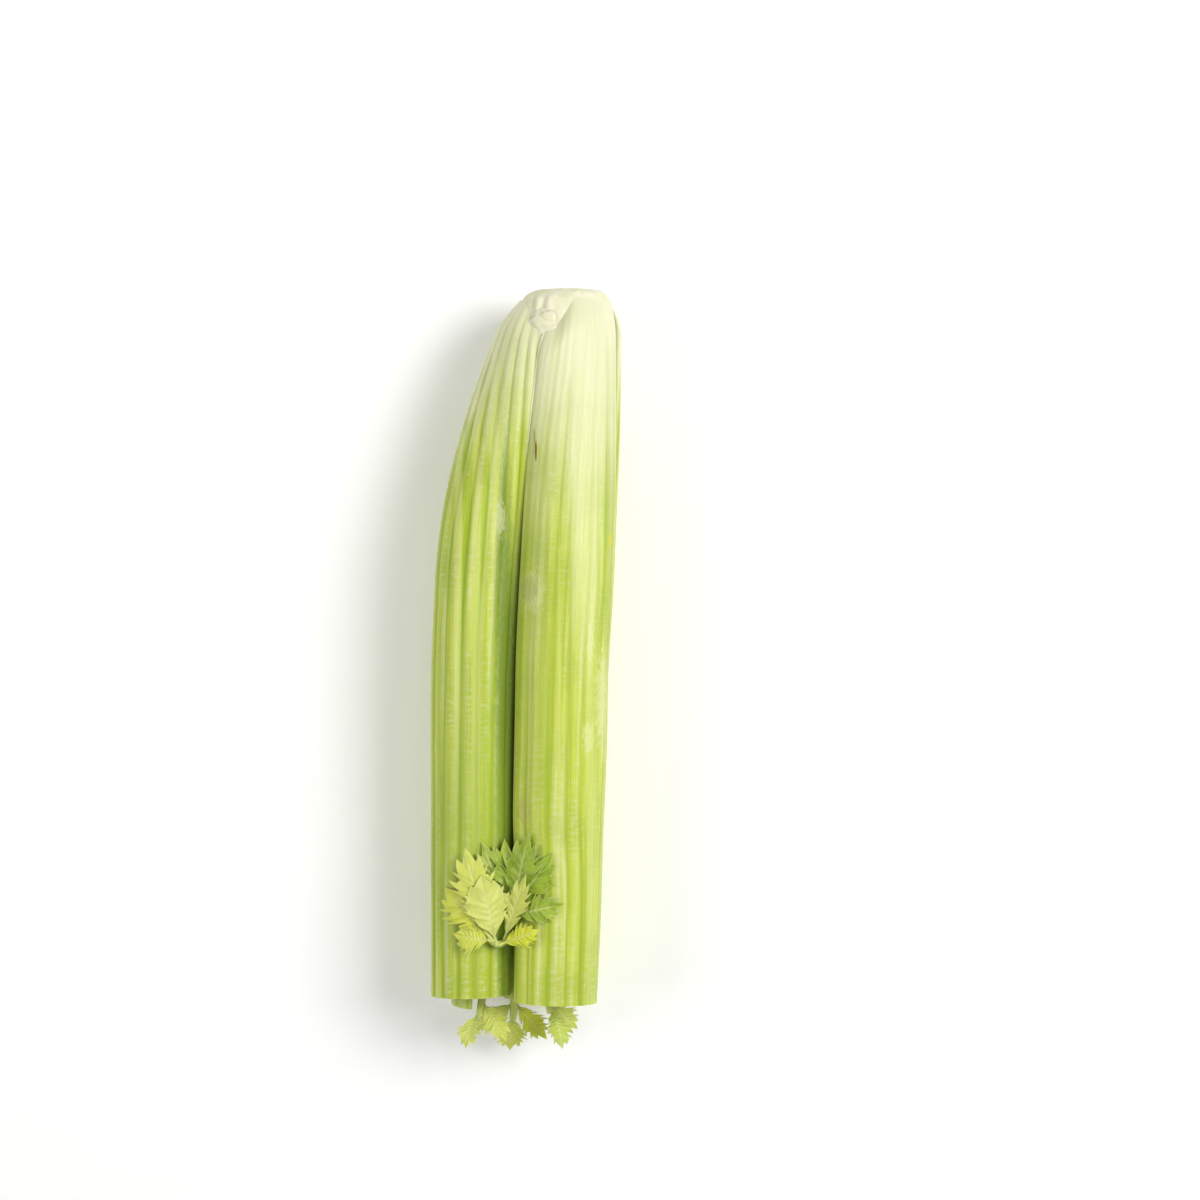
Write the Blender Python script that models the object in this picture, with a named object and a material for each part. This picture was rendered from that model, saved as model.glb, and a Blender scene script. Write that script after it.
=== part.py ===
"""A celery heart lying on its side, the cut base toward +Y and the cut tops toward -Y.

The stalks stand in three layers round one axis. Near the base every layer hugs the root
crown. Further up each stalk moves out to a centre of its own and opens into a channel.
s is the distance from the cut base along the heart, and u runs across a stalk from -1 to 1.
"""
import math

import bmesh
import bpy
import numpy as np

# Driving dimensions, in metres
HEART_LENGTH = 0.229
AXIS_HEIGHT = 0.0241          # axis of the heart above the surface that it lies on
SPREAD_START = 0.004          # where the stalks begin to part from the crown
SPREAD_END = 0.092            # where they have reached their own centres
SPREAD_POWER = 1.8
TURN_POWER = 1.3              # how late a stalk's margins take their own angles
BASE_SWING = 0.0150           # the base curves to +X by this much
BASE_SWING_END = 0.125
DRIFT_START = 0.100
TOP_DRIFT = 0.018             # metres to -X for each metre past the drift's start
TOP_TAPER = 0.06              # share of their size that the stalks lose by their tops
FLOOR_HUG = 0.0244            # keeps the tapering under stalks down on the surface
FOOT_RISE = 0.011             # length over which a foot grows to its full wall
FOOT_WALL = 0.3               # share of the wall at the very foot
MARGIN_THIN = 0.38            # share of the wall lost at a stalk's margins
MARGIN_ROUND = 7              # power of the margins' rounding

# Root crown: distance from the cut base and radius
CROWN_PROFILE = (
    (0.0, 0.0114), (0.0010, 0.0129), (0.0030, 0.0134), (0.0060, 0.0134), (0.0082, 0.0128),
    (0.0086, 0.0094), (0.0144, 0.0078), (0.0150, 0.0062), (0.0220, 0.0052), (0.0262, 0.0022),
)
CROWN_SIDES = 28
SCAR_ANGLE = 109              # a pale knob where a lower stalk was broken off
SCAR_PLACE = (0.0149, 0.0085)           # distance from the axis, distance from the base
SCAR_SIZE = (0.0062, 0.0051, 0.0023)    # half sizes round, along and out from the axis
SCAR_CLEAR = (20, 33)         # degrees over which the feet beside it come down again
SCAR_LIFT = 0.0108

LAYERS = {
    "outer": dict(foot=0.0032, radius=0.0176, wall=0.0036, step=0.0017, rib=0.0007),
    "middle": dict(foot=0.0090, radius=0.0132, wall=0.0030, step=0.0005, rib=0.0005),
    "inner": dict(foot=0.0155, radius=0.0088, wall=0.0023, step=0.0003, rib=0.0003),
}
STATIONS = {
    "outer": (0.0, 0.0020, 0.0045, 0.0080, 0.0130, 0.0200, 0.0300, 0.0440, 0.0630, 0.0900,
              0.1300, 0.1780, 1.0),
    "middle": (0.0, 0.0025, 0.0060, 0.0110, 0.0180, 0.0280, 0.0420, 0.0620, 0.0880, 0.1300,
               1.0),
    "inner": (0.0, 0.0025, 0.0060, 0.0110, 0.0200, 0.0340, 0.0520, 0.0780, 0.1250, 1.0),
}
# foot and span are the margins' angles in degrees at the crown and higher up, centre and
# radius are the stalk's own there, step is how far one margin stands outside the other,
# sway bows it in x and z, and tilt slants its cut top
STALKS = {
    "outer_stalk_right": dict(
        layer="outer", foot=(14, 106), centre=(0.0118, 0.0076), radius=0.0170, span=(-21, 146),
        wall=0.0068, step=0.0005, top=0.229, tilt=-0.0010, sway=(0.0002, 0.0003), ribs=8,
        gape=9),
    "outer_stalk_left": dict(
        layer="outer", foot=(112, 193), centre=(-0.0136, 0.0052), radius=0.0152, span=(17, 208),
        wall=0.0064, step=0.0003, top=0.227, tilt=0.0008, sway=(-0.0004, 0.0002), ribs=8),
    "under_stalk_left": dict(
        layer="outer", foot=(200, 280), centre=(-0.0126, -0.0080), radius=0.0164, span=(158, 304),
        wall=0.0066, step=0.0002, top=0.230, tilt=0.0012, sway=(-0.0003, 0.0), ribs=7),
    "under_stalk_right": dict(
        layer="outer", foot=(287, 367), centre=(0.0126, -0.0080), radius=0.0164, span=(236, 382),
        wall=0.0066, step=0.0002, top=0.228, tilt=-0.0007, sway=(0.0003, 0.0), ribs=7),
    "middle_stalk_right": dict(
        layer="middle", foot=(-42, 38), centre=(0.0096, 0.0), radius=0.0124, span=(-70, 66),
        wall=0.0054, step=0.0, top=0.230, tilt=0.0008, sway=(0.0005, -0.0004), ribs=5),
    "middle_stalk_top": dict(
        layer="middle", foot=(50, 126), centre=(0.0028, -0.0004), radius=0.0086, span=(8, 150),
        wall=0.0044, step=0.0, top=0.229, tilt=-0.0006, sway=(0.0, 0.0006), ribs=4),
    "middle_stalk_left": dict(
        layer="middle", foot=(138, 216), centre=(-0.0098, -0.0016), radius=0.0120, span=(116, 248),
        wall=0.0054, step=0.0, top=0.231, tilt=-0.0009, sway=(-0.0004, 0.0005), ribs=5),
    "middle_stalk_bottom": dict(
        layer="middle", foot=(228, 306), centre=(0.0, -0.0068), radius=0.0098, span=(204, 336),
        wall=0.0046, step=0.0, top=0.229, tilt=0.0006, sway=(0.0003, -0.0005), ribs=4),
    "inner_stalk_left": dict(
        layer="inner", foot=(128, 222), centre=(-0.0052, -0.0014), radius=0.0076, span=(102, 252),
        wall=0.0042, step=0.0, top=0.206, tilt=0.0, sway=(0.0004, 0.0003), ribs=3),
    "inner_stalk_right": dict(
        layer="inner", foot=(-105, 5), centre=(0.0066, -0.0044), radius=0.0060, span=(-88, 44),
        wall=0.0036, step=0.0, top=0.206, tilt=0.0, sway=(0.0, 0.0003), ribs=3),
}
GAPE_ZONE = (0.165, 0.198)    # where the leaf stems wedge the two upper stalks apart
RIB_ZONE = 0.93               # share of a stalk's width that carries ribs
RIB_SHOULDER = 0.28           # from a furrow to the rib's flat top, in rib widths
INNER_POINTS = {"outer": 10, "middle": 7, "inner": 5}

CORE_FOOT = 0.0266
CORE_TOP = 0.212
CORE_CENTRE = (0.0004, -0.0026)
CORE_RADII = (0.0019, 0.0030)           # at the foot and at the top
CORE_SIDES = 10
CORE_STATIONS = (0.0, 0.15, 0.35, 0.6, 1.0)

# Leaves
BLADE_THICK = 0.0009
BLADE_TEETH = 5
BLADE_ROOT = 0.10             # share of a blade's length that is its short stem
BLADE_STEM_WIDTH = 0.0011     # half width of that stem
NOTCH_DEPTH = 0.62            # a notch's half width against the envelope there
SINUS_DEPTH = 0.36            # the same at the deep notch between two lobes
SINUS_AT = 2
TOOTH_LEAN = 0.045            # how far a tooth points past the notch above it
BLADE_ARCH = 0.0005
BED_SOFTNESS = 0.003          # how widely a leaf bridges the valley between two stalks
STEM_SIDES = 8
STEM_STEPS = 12

# Each spray: the stem's points as (x, s, z from the axis), its radii at root and tip, and
# its leaflets. A draped leaflet lies on the two upper stalks with its own lift at base and
# tip. A free one spans between its base and tip points with its face turned to up.
SPRAYS = {
    "pale_leaf_spray": dict(
        stem=((0.0022, 0.1985, 0.0094), (0.0008, 0.2020, 0.0120), (-0.0018, 0.2058, 0.0150),
              (-0.0044, 0.2084, 0.0182), (-0.0068, 0.2092, 0.0208), (-0.0090, 0.2076, 0.0220),
              (-0.0106, 0.2048, 0.0216)),
        radii=(0.0012, 0.0011),
        draped=(
            dict(base=(-0.0104, 0.2050), tip=(-0.0172, 0.1785), width=0.0150, lift=(0.0027, 0.0034)),
            dict(base=(-0.0098, 0.2062), tip=(-0.0240, 0.1915), width=0.0150, lift=(0.0030, 0.0009)),
            dict(base=(-0.0076, 0.2089), tip=(-0.0122, 0.1870), width=0.0175, lift=(0.0037, 0.0042)),
            dict(base=(-0.0087, 0.2079), tip=(-0.0210, 0.2060), width=0.0120, lift=(0.0036, 0.0010)),
            dict(base=(-0.0052, 0.2086), tip=(0.0022, 0.1865), width=0.0085, lift=(0.0019, 0.0050)),
            dict(base=(-0.0062, 0.2092), tip=(0.0064, 0.2040), width=0.0085, lift=(0.0036, 0.0034)),
        ),
        free=(),
    ),
    "green_leaf_spray": dict(
        stem=((0.0026, 0.1895, 0.0092), (0.0010, 0.1920, 0.0118), (-0.0016, 0.1945, 0.0146),
              (-0.0032, 0.1966, 0.0172), (-0.0034, 0.1982, 0.0192), (-0.0032, 0.1992, 0.0204)),
        radii=(0.0012, 0.0010),
        draped=(
            dict(base=(-0.0030, 0.1994), tip=(-0.0048, 0.1760), width=0.0125, lift=(0.0014, 0.0008)),
            dict(base=(-0.0036, 0.1990), tip=(-0.0118, 0.1768), width=0.0115, lift=(0.0014, 0.0008)),
            dict(base=(-0.0028, 0.1992), tip=(0.0030, 0.1738), width=0.0130, lift=(0.0012, 0.0009)),
            dict(base=(-0.0030, 0.1996), tip=(0.0106, 0.1800), width=0.0130, lift=(0.0016, 0.0008)),
            dict(base=(-0.0032, 0.1998), tip=(0.0140, 0.1960), width=0.0110, lift=(0.0019, 0.0009)),
        ),
        free=(),
    ),
    "core_leaf_spray": dict(
        stem=((-0.0016, 0.2125, -0.0024), (-0.0019, 0.2220, -0.0028), (-0.0024, 0.2310, -0.0040),
              (-0.0030, 0.2370, -0.0064)),
        radii=(0.0022, 0.0012),
        draped=(),
        free=(
            dict(base=(-0.0030, 0.2350, -0.0060), tip=(-0.0042, 0.2480, -0.0120), width=0.0110,
                 up=(0.1, 0.45, 0.9)),
            dict(base=(-0.0024, 0.2310, -0.0042), tip=(-0.0150, 0.2410, -0.0080), width=0.0100,
                 up=(-0.2, 0.3, 0.9)),
            dict(base=(-0.0024, 0.2310, -0.0042), tip=(0.0080, 0.2440, -0.0100), width=0.0095,
                 up=(0.2, 0.3, 0.9)),
        ),
    ),
    "left_leaf_spray": dict(
        stem=((-0.0112, 0.2066, -0.0014), (-0.0118, 0.2170, -0.0010), (-0.0126, 0.2280, 0.0010),
              (-0.0136, 0.2345, 0.0040)),
        radii=(0.0019, 0.0011),
        draped=(),
        free=(
            dict(base=(-0.0134, 0.2330, 0.0034), tip=(-0.0176, 0.2440, 0.0100), width=0.0105,
                 up=(-0.6, 0.2, 0.8)),
            dict(base=(-0.0128, 0.2300, 0.0018), tip=(-0.0044, 0.2420, 0.0075), width=0.0095,
                 up=(0.3, 0.3, 0.9)),
        ),
    ),
    "right_leaf_spray": dict(
        stem=((0.0082, 0.2066, -0.0046), (0.0080, 0.2170, -0.0042), (0.0084, 0.2280, -0.0022),
              (0.0094, 0.2340, 0.0006)),
        radii=(0.0018, 0.0011),
        draped=(),
        free=(
            dict(base=(0.0092, 0.2325, 0.0000), tip=(0.0134, 0.2445, 0.0064), width=0.0105,
                 up=(0.6, 0.2, 0.8)),
            dict(base=(0.0086, 0.2300, -0.0012), tip=(0.0180, 0.2400, -0.0050), width=0.0090,
                 up=(0.5, 0.3, 0.8)),
        ),
    ),
}
COLOURS = {
    "root_crown": (0.78, 0.74, 0.52), "outer": (0.50, 0.64, 0.16), "middle": (0.58, 0.68, 0.22),
    "inner": (0.66, 0.72, 0.28), "pale_leaf_spray": (0.62, 0.68, 0.10),
    "green_leaf_spray": (0.34, 0.50, 0.05), "core_leaf_spray": (0.66, 0.70, 0.14),
    "left_leaf_spray": (0.60, 0.68, 0.12), "right_leaf_spray": (0.52, 0.64, 0.10),
}


def clear_scene():
    for item in list(bpy.data.objects):
        bpy.data.objects.remove(item, do_unlink=True)


def mix(low, high, share):
    return low + (high - low) * share


def smooth_step(low, high, value):
    share = np.clip((value - low) / (high - low), 0.0, 1.0)
    return share * share * (3.0 - 2.0 * share)


def axis_x(s):
    """Sideways place of the heart's axis: a swung base, then a slow drift to the tops."""
    swing = np.clip(1.0 - s / BASE_SWING_END, 0.0, None)
    return BASE_SWING * swing ** 2 - TOP_DRIFT * np.clip(s - DRIFT_START, 0.0, None)


def taper(s):
    """Size of the stalks and of their places, which shrinks slowly toward the tops."""
    return 1.0 - TOP_TAPER * np.clip((s - DRIFT_START) / (HEART_LENGTH - DRIFT_START), 0.0, 1.0)


def spread(s):
    """0 where the stalks hug the crown, 1 where each stands on its own centre."""
    share = np.clip((s - SPREAD_START) / (SPREAD_END - SPREAD_START), 0.0, 1.0)
    return 1.0 - (1.0 - share) ** SPREAD_POWER


def foot_line(stalk, u):
    """Where a stalk starts along the heart: lifted beside the scar on the outer layer."""
    foot = LAYERS[stalk["layer"]]["foot"] + 0.0 * u
    if stalk["layer"] != "outer":
        return foot
    angle = mix(stalk["foot"][0], stalk["foot"][1], (u + 1.0) / 2.0)
    beside = 1.0 - smooth_step(SCAR_CLEAR[0], SCAR_CLEAR[1], np.abs(angle - SCAR_ANGLE))
    return foot + SCAR_LIFT * beside


def stalk_point(stalk, u, s, relief, inner):
    """One point or an array of points of a stalk's outer or inner surface."""
    layer = LAYERS[stalk["layer"]]
    share = spread(s)
    turned = share ** TURN_POWER
    start = mix(stalk["foot"][0], stalk["span"][0], turned)
    end = mix(stalk["foot"][1], stalk["span"][1], turned)
    end = end - stalk.get("gape", 0.0) * smooth_step(GAPE_ZONE[0], GAPE_ZONE[1], s)
    angle = np.radians(mix(start, end, (u + 1.0) / 2.0))
    rise = np.sin(np.clip((s - foot_line(stalk, u)) / FOOT_RISE, 0.0, 1.0) * math.pi / 2.0)
    grow = mix(FOOT_WALL, 1.0, rise)
    radius = mix(layer["radius"], stalk["radius"], share) * taper(s) - layer["wall"] * (1.0 - grow)
    radius = radius + mix(layer["step"] * rise, stalk["step"], share) * u
    wall = mix(layer["wall"], stalk["wall"], share) * grow * (1.0 - MARGIN_THIN * u * u)
    edge = np.sqrt(np.clip(1.0 - np.abs(u) ** MARGIN_ROUND, 0.0, 1.0))
    radius = radius - 0.5 * wall * (1.0 - edge)
    if inner:
        radius = radius - wall * edge
    else:
        radius = radius - relief * rise
    bow = np.sin(np.clip((s - 0.04) / (HEART_LENGTH - 0.04), 0.0, 1.0) * math.pi) ** 2
    out = share * taper(s)
    x = axis_x(s) + stalk["centre"][0] * out + stalk["sway"][0] * bow + radius * np.cos(angle)
    z = stalk["centre"][1] * out + stalk["sway"][1] * bow + radius * np.sin(angle)
    if stalk["layer"] == "outer":
        under = 1.0 if stalk["centre"][1] < 0.0 else 0.0
        z = z - FLOOR_HUG * under * (1.0 - taper(s))
    return x, -s, np.maximum(z, -AXIS_HEIGHT)


def across_stations(stalk):
    """Places across the outer side with the furrow's depth there: three to a rib."""
    ribs = stalk["ribs"]
    depth = LAYERS[stalk["layer"]]["rib"]
    width = 2.0 * RIB_ZONE / ribs
    stations = [(-1.0, 0.0), (-0.975, 0.0)]
    for rib in range(ribs):
        left = -RIB_ZONE + width * rib
        stations.append((left, depth))
        stations.append((left + RIB_SHOULDER * width, 0.0))
        stations.append((left + (1.0 - RIB_SHOULDER) * width, 0.0))
    return stations + [(RIB_ZONE, depth), (0.975, 0.0), (1.0, 0.0)]


def mesh_object(name, bm, colour, parent):
    """Turn a bmesh into a named object with a material of its own."""
    bmesh.ops.recalc_face_normals(bm, faces=bm.faces)
    mesh = bpy.data.meshes.new(name)
    bm.to_mesh(mesh)
    bm.free()
    mesh.shade_smooth()
    mesh.set_sharp_from_angle(angle=math.radians(50))
    material = bpy.data.materials.new(name + "_skin")
    material.use_nodes = True
    shader = material.node_tree.nodes["Principled BSDF"]
    shader.inputs["Base Color"].default_value = (*colour, 1.0)
    shader.inputs["Roughness"].default_value = 0.4
    shader.inputs["Metallic"].default_value = 0.0
    mesh.materials.append(material)
    item = bpy.data.objects.new(name, mesh)
    item.parent = parent
    bpy.context.scene.collection.objects.link(item)
    return item


def join_rings(bm, rings):
    """Close the wall between rings of the same number of points."""
    for low, high in zip(rings, rings[1:]):
        count = len(low)
        for here in range(count):
            after = (here + 1) % count
            bm.faces.new((low[here], low[after], high[after], high[here]))


def cap_channel(bm, outer, inner):
    """Close a channel's end with triangles between its outer and inner edge."""
    here = there = 0
    while here < len(outer) - 1 or there < len(inner) - 1:
        outer_next = outer[here + 1][0] if here < len(outer) - 1 else 2.0
        inner_next = inner[there + 1][0] if there < len(inner) - 1 else 2.0
        if outer_next <= inner_next:
            corners = (outer[here][1], outer[here + 1][1], inner[there][1])
            here += 1
        else:
            corners = (outer[here][1], inner[there + 1][1], inner[there][1])
            there += 1
        if len(set(corners)) == 3:
            bm.faces.new(corners)


def make_stalk(name, stalk, parent):
    """Loft one stalk: ribbed outside, smooth inside, rounded margins, flat ends."""
    stations = across_stations(stalk)
    count = INNER_POINTS[stalk["layer"]]
    inside = [math.sin(math.pi / 2.0 * (1.0 - 2.0 * k / (count + 1))) for k in range(1, count + 1)]
    bm = bmesh.new()
    rings = []
    around = [(u, depth, False) for u, depth in stations] + [(u, 0.0, True) for u in inside]
    length = stalk["top"] - LAYERS[stalk["layer"]]["foot"]
    for station in STATIONS[stalk["layer"]]:
        ring = []
        for u, relief, inner in around:
            foot = float(foot_line(stalk, u))
            top = stalk["top"] + stalk["tilt"] * u
            share = 1.0 if station == 1.0 else station / length
            x, y, z = stalk_point(stalk, u, mix(foot, top, share), relief, inner)
            ring.append(bm.verts.new((float(x), float(y), float(z))))
        rings.append(ring)
    join_rings(bm, rings)
    for ring in (rings[0], rings[-1]):
        outer = list(zip([u for u, _ in stations], ring))
        inner = [outer[0]] + list(zip(inside[::-1], ring[len(stations):][::-1])) + [outer[-1]]
        cap_channel(bm, outer, inner)
    return mesh_object(name, bm, COLOURS[stalk["layer"]], parent)


def apply_union(item, repeats):
    """Fuse the repeats into the item with one Boolean and remove them."""
    group = bpy.data.collections.new(item.name + "_repeats")
    for repeat in repeats:
        bpy.context.scene.collection.objects.unlink(repeat)
        group.objects.link(repeat)
    bpy.context.scene.collection.children.link(group)
    bpy.context.view_layer.update()
    union = item.modifiers.new("union", "BOOLEAN")
    union.operation = "UNION"
    union.operand_type = "COLLECTION"
    union.collection = group
    with bpy.context.temp_override(object=item, active_object=item):
        bpy.ops.object.modifier_apply(modifier=union.name)
    for repeat in repeats:
        bpy.data.objects.remove(repeat, do_unlink=True)
    bpy.data.collections.remove(group)
    keep_main_skin(item.data)


def keep_main_skin(mesh):
    """Fill the sealed hollows that fusing leaves: only the largest connected skin stays."""
    bm = bmesh.new()
    bm.from_mesh(mesh)
    waiting = set(bm.verts)
    skins = []
    while waiting:
        skin = set()
        front = [waiting.pop()]
        while front:
            vert = front.pop()
            skin.add(vert)
            for edge in vert.link_edges:
                other = edge.other_vert(vert)
                if other in waiting:
                    waiting.remove(other)
                    front.append(other)
        skins.append(skin)
    skins.sort(key=len)
    small = [vert for skin in skins[:-1] for vert in skin]
    bmesh.ops.delete(bm, geom=small, context="VERTS")
    bm.to_mesh(mesh)
    bm.free()


def make_crown(parent):
    """Turn the root crown's stepped profile and fuse the scar knob into its side."""
    bm = bmesh.new()
    rings = []
    for s, radius in CROWN_PROFILE:
        ring = []
        for side in range(CROWN_SIDES):
            angle = 2.0 * math.pi * side / CROWN_SIDES
            place = (float(axis_x(s)) + radius * math.cos(angle), -s, radius * math.sin(angle))
            ring.append(bm.verts.new(place))
        rings.append(ring)
    join_rings(bm, rings)
    bm.faces.new(rings[0])
    bm.faces.new(rings[-1])
    crown = mesh_object("root_crown", bm, COLOURS["root_crown"], parent)

    bm = bmesh.new()
    bmesh.ops.create_icosphere(bm, subdivisions=2, radius=1.0)
    angle = math.radians(SCAR_ANGLE)
    out = np.array((math.cos(angle), 0.0, math.sin(angle)))
    round_way = np.array((-math.sin(angle), 0.0, math.cos(angle)))
    centre = np.array((float(axis_x(SCAR_PLACE[1])), -SCAR_PLACE[1], 0.0)) + SCAR_PLACE[0] * out
    for vert in bm.verts:
        way, along, high = vert.co.x, vert.co.y, vert.co.z
        vert.co = (centre + round_way * way * SCAR_SIZE[0] + out * high * SCAR_SIZE[2]
                   + np.array((0.0, along * SCAR_SIZE[1], 0.0)))
    knob = mesh_object("scar_knob", bm, COLOURS["root_crown"], parent)
    apply_union(crown, [knob])
    return crown


def make_core(parent):
    """Loft the young shoot in the middle of the heart."""
    bm = bmesh.new()
    rings = []
    for station in CORE_STATIONS:
        s = mix(CORE_FOOT, CORE_TOP, station)
        share = float(spread(s))
        radius = mix(CORE_RADII[0], CORE_RADII[1], station)
        ring = []
        for side in range(CORE_SIDES):
            angle = 2.0 * math.pi * side / CORE_SIDES
            x = float(axis_x(s)) + CORE_CENTRE[0] * share + radius * math.cos(angle)
            ring.append(bm.verts.new((x, -s, CORE_CENTRE[1] * share + radius * math.sin(angle))))
        rings.append(ring)
    join_rings(bm, rings)
    bm.faces.new(rings[0])
    bm.faces.new(rings[-1])
    return mesh_object("core_stalk", bm, COLOURS["inner"], parent)


def smooth_path(points, steps):
    """Read evenly spaced stations from a Catmull-Rom curve through the points."""
    points = np.array(points)
    padded = np.vstack((2 * points[0] - points[1], points, 2 * points[-1] - points[-2]))
    path = []
    for place in np.linspace(0.0, len(points) - 1.0, steps):
        first = min(int(place), len(points) - 2)
        t = place - first
        a, b, c, d = padded[first:first + 4]
        path.append(0.5 * (2 * b + (c - a) * t + (2 * a - 5 * b + 4 * c - d) * t ** 2
                           + (3 * b - a - 3 * c + d) * t ** 3))
    return np.array(path)


def make_stem(name, spray, colour, parent):
    """Sweep a leaf stem's round section along its smooth path."""
    path = smooth_path([(x, -s, z) for x, s, z in spray["stem"]], STEM_STEPS)
    tangents = np.gradient(path, axis=0)
    tangents /= np.linalg.norm(tangents, axis=1)[:, None]
    bm = bmesh.new()
    rings = []
    side_way = np.array((1.0, 0.0, 0.0))
    for index, (place, tangent) in enumerate(zip(path, tangents)):
        side_way = side_way - tangent * side_way.dot(tangent)
        side_way /= np.linalg.norm(side_way)
        up_way = np.cross(tangent, side_way)
        radius = mix(spray["radii"][0], spray["radii"][1], index / (STEM_STEPS - 1))
        ring = []
        for side in range(STEM_SIDES):
            angle = 2.0 * math.pi * side / STEM_SIDES
            out = side_way * math.cos(angle) + up_way * math.sin(angle)
            ring.append(bm.verts.new(place + radius * out))
        rings.append(ring)
    join_rings(bm, rings)
    bm.faces.new(rings[0])
    bm.faces.new(rings[-1])
    return mesh_object(name, bm, colour, parent)


def bed(x, s):
    """Height over the axis of the two upper stalks seen from above, the valley half filled.

    It is the soft maximum of the two stalks' circles: a leaf bridges the gap between them.
    """
    total = 0.0
    for name in ("outer_stalk_right", "outer_stalk_left"):
        stalk = STALKS[name]
        size = float(taper(s))
        across = x - float(axis_x(s)) - stalk["centre"][0] * size
        inside = max((stalk["radius"] * size) ** 2 - across ** 2, 0.0)
        total += math.exp((stalk["centre"][1] * size + math.sqrt(inside)) / BED_SOFTNESS)
    return BED_SOFTNESS * math.log(total)


def blade_outline(width, length):
    """Half outline of a toothed leaflet as (along, across) pairs: notches and tooth tips."""
    notches = []
    tips = []
    for k in range(BLADE_TEETH + 1):
        along = BLADE_ROOT + (1.0 - BLADE_ROOT) * (k / BLADE_TEETH) ** 0.92
        depth = SINUS_DEPTH if k == SINUS_AT else NOTCH_DEPTH
        notches.append((along, 0.5 * width * depth * envelope(along)))
        middle = BLADE_ROOT + (1.0 - BLADE_ROOT) * ((k + 0.75) / BLADE_TEETH) ** 0.92
        tips.append((min(middle + TOOTH_LEAN, 0.99), 0.5 * width * envelope(middle)))
    notches[0] = (BLADE_ROOT, BLADE_STEM_WIDTH)
    notches[-1] = (1.0, 0.0)
    return [(a * length, b) for a, b in notches], [(a * length, b) for a, b in tips[:-1]]


def envelope(along):
    """Share of the full half width that a blade reaches at a place along it."""
    return math.sin(math.pi * min(along, 1.0) ** 1.05) ** 0.75 if along < 1.0 else 0.0


def make_blade(name, width, length, place, up, colour, parent):
    """Build a thin toothed blade, both faces split alike, on a surface that place gives."""
    notches, tips = blade_outline(width, length)
    top_keys = {("rib", "root"): (0.0, 0.0)}
    triangles = []
    chains = []
    for side in (1.0, -1.0):
        top_keys[("stem", side)] = (0.0, side * BLADE_STEM_WIDTH)
        for k, (along, across) in enumerate(notches):
            top_keys[("rib", k)] = (along, 0.0)
            if k < BLADE_TEETH:
                top_keys[("notch", side, k)] = (along, side * across)
                top_keys[("tip", side, k)] = (tips[k][0], side * tips[k][1])
        chain = [("stem", side), ("notch", side, 0)]
        triangles.append((("rib", "root"), ("stem", side), ("notch", side, 0)))
        triangles.append((("rib", "root"), ("notch", side, 0), ("rib", 0)))
        for k in range(BLADE_TEETH):
            after = ("notch", side, k + 1) if k < BLADE_TEETH - 1 else ("rib", BLADE_TEETH)
            triangles.append((("rib", k), ("notch", side, k), after))
            if k < BLADE_TEETH - 1:
                triangles.append((("rib", k), after, ("rib", k + 1)))
            triangles.append((("notch", side, k), ("tip", side, k), after))
            chain += [("tip", side, k), after]
        chains.append(chain)
    bm = bmesh.new()
    upper = {key: bm.verts.new(place(*value)) for key, value in top_keys.items()}
    drop = -BLADE_THICK * np.array(up)
    lower = {key: bm.verts.new(np.array(vert.co) + drop) for key, vert in list(upper.items())}
    for corners in triangles:
        bm.faces.new([upper[key] for key in corners])
        bm.faces.new([lower[key] for key in reversed(corners)])
    edge = chains[0] + chains[1][::-1][1:] + [("rib", "root")]
    for here, after in zip(edge, edge[1:] + edge[:1]):
        bm.faces.new((upper[here], upper[after], lower[after]))
        bm.faces.new((upper[here], lower[after], lower[here]))
    return mesh_object(name, bm, colour, parent)


def draped_place(leaf):
    """Surface of a leaflet that lies on the stalks, a little higher toward its stem."""
    base = np.array(leaf["base"])
    way = np.array(leaf["tip"]) - base
    length = float(np.linalg.norm(way))
    way /= length
    side_way = np.array((-way[1], way[0]))

    def place(along, across):
        x, s = base + way * along + side_way * across
        lift = mix(leaf["lift"][0], leaf["lift"][1], along / length)
        arch = BLADE_ARCH * math.sin(math.pi * along / length)
        return np.array((x, -s, bed(x, s) + lift + arch + BLADE_THICK))

    return place, length


def free_place(leaf):
    """Surface of a leaflet that spans from its base to its tip and cups a little."""
    base, tip = (np.array((x, -s, z)) for x, s, z in (leaf["base"], leaf["tip"]))
    length = float(np.linalg.norm(tip - base))
    way = (tip - base) / length
    up = np.array((leaf["up"][0], -leaf["up"][1], leaf["up"][2]))
    up = up - way * up.dot(way)
    up /= np.linalg.norm(up)
    side_way = np.cross(way, up)

    def place(along, across):
        cup = 0.0012 * math.sin(math.pi * along / length) + 12.0 * across * across
        return base + way * along + side_way * across + up * cup

    return place, length, up


def make_spray(name, spray, parent):
    """Build a leaf stem and fuse its leaflets into it."""
    colour = COLOURS[name]
    stem = make_stem(name, spray, colour, parent)
    blades = []
    for index, leaf in enumerate(spray["draped"]):
        place, length = draped_place(leaf)
        blades.append(make_blade(f"{name}_blade_{index}", leaf["width"], length, place,
                                 (0.0, 0.0, 1.0), colour, parent))
    for index, leaf in enumerate(spray["free"]):
        place, length, up = free_place(leaf)
        blades.append(make_blade(f"{name}_tip_{index}", leaf["width"], length, place, up,
                                 colour, parent))
    apply_union(stem, blades)
    return stem


def centre_on_surface(parent, items):
    """Move the parent so that the heart stands at z = 0 with its box centred on x = y = 0."""
    corners = np.array([vert.co for item in items for vert in item.data.vertices])
    low, high = corners.min(axis=0), corners.max(axis=0)
    middle = (low + high) / 2.0
    parent.location = (-middle[0], -middle[1], -low[2])


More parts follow.
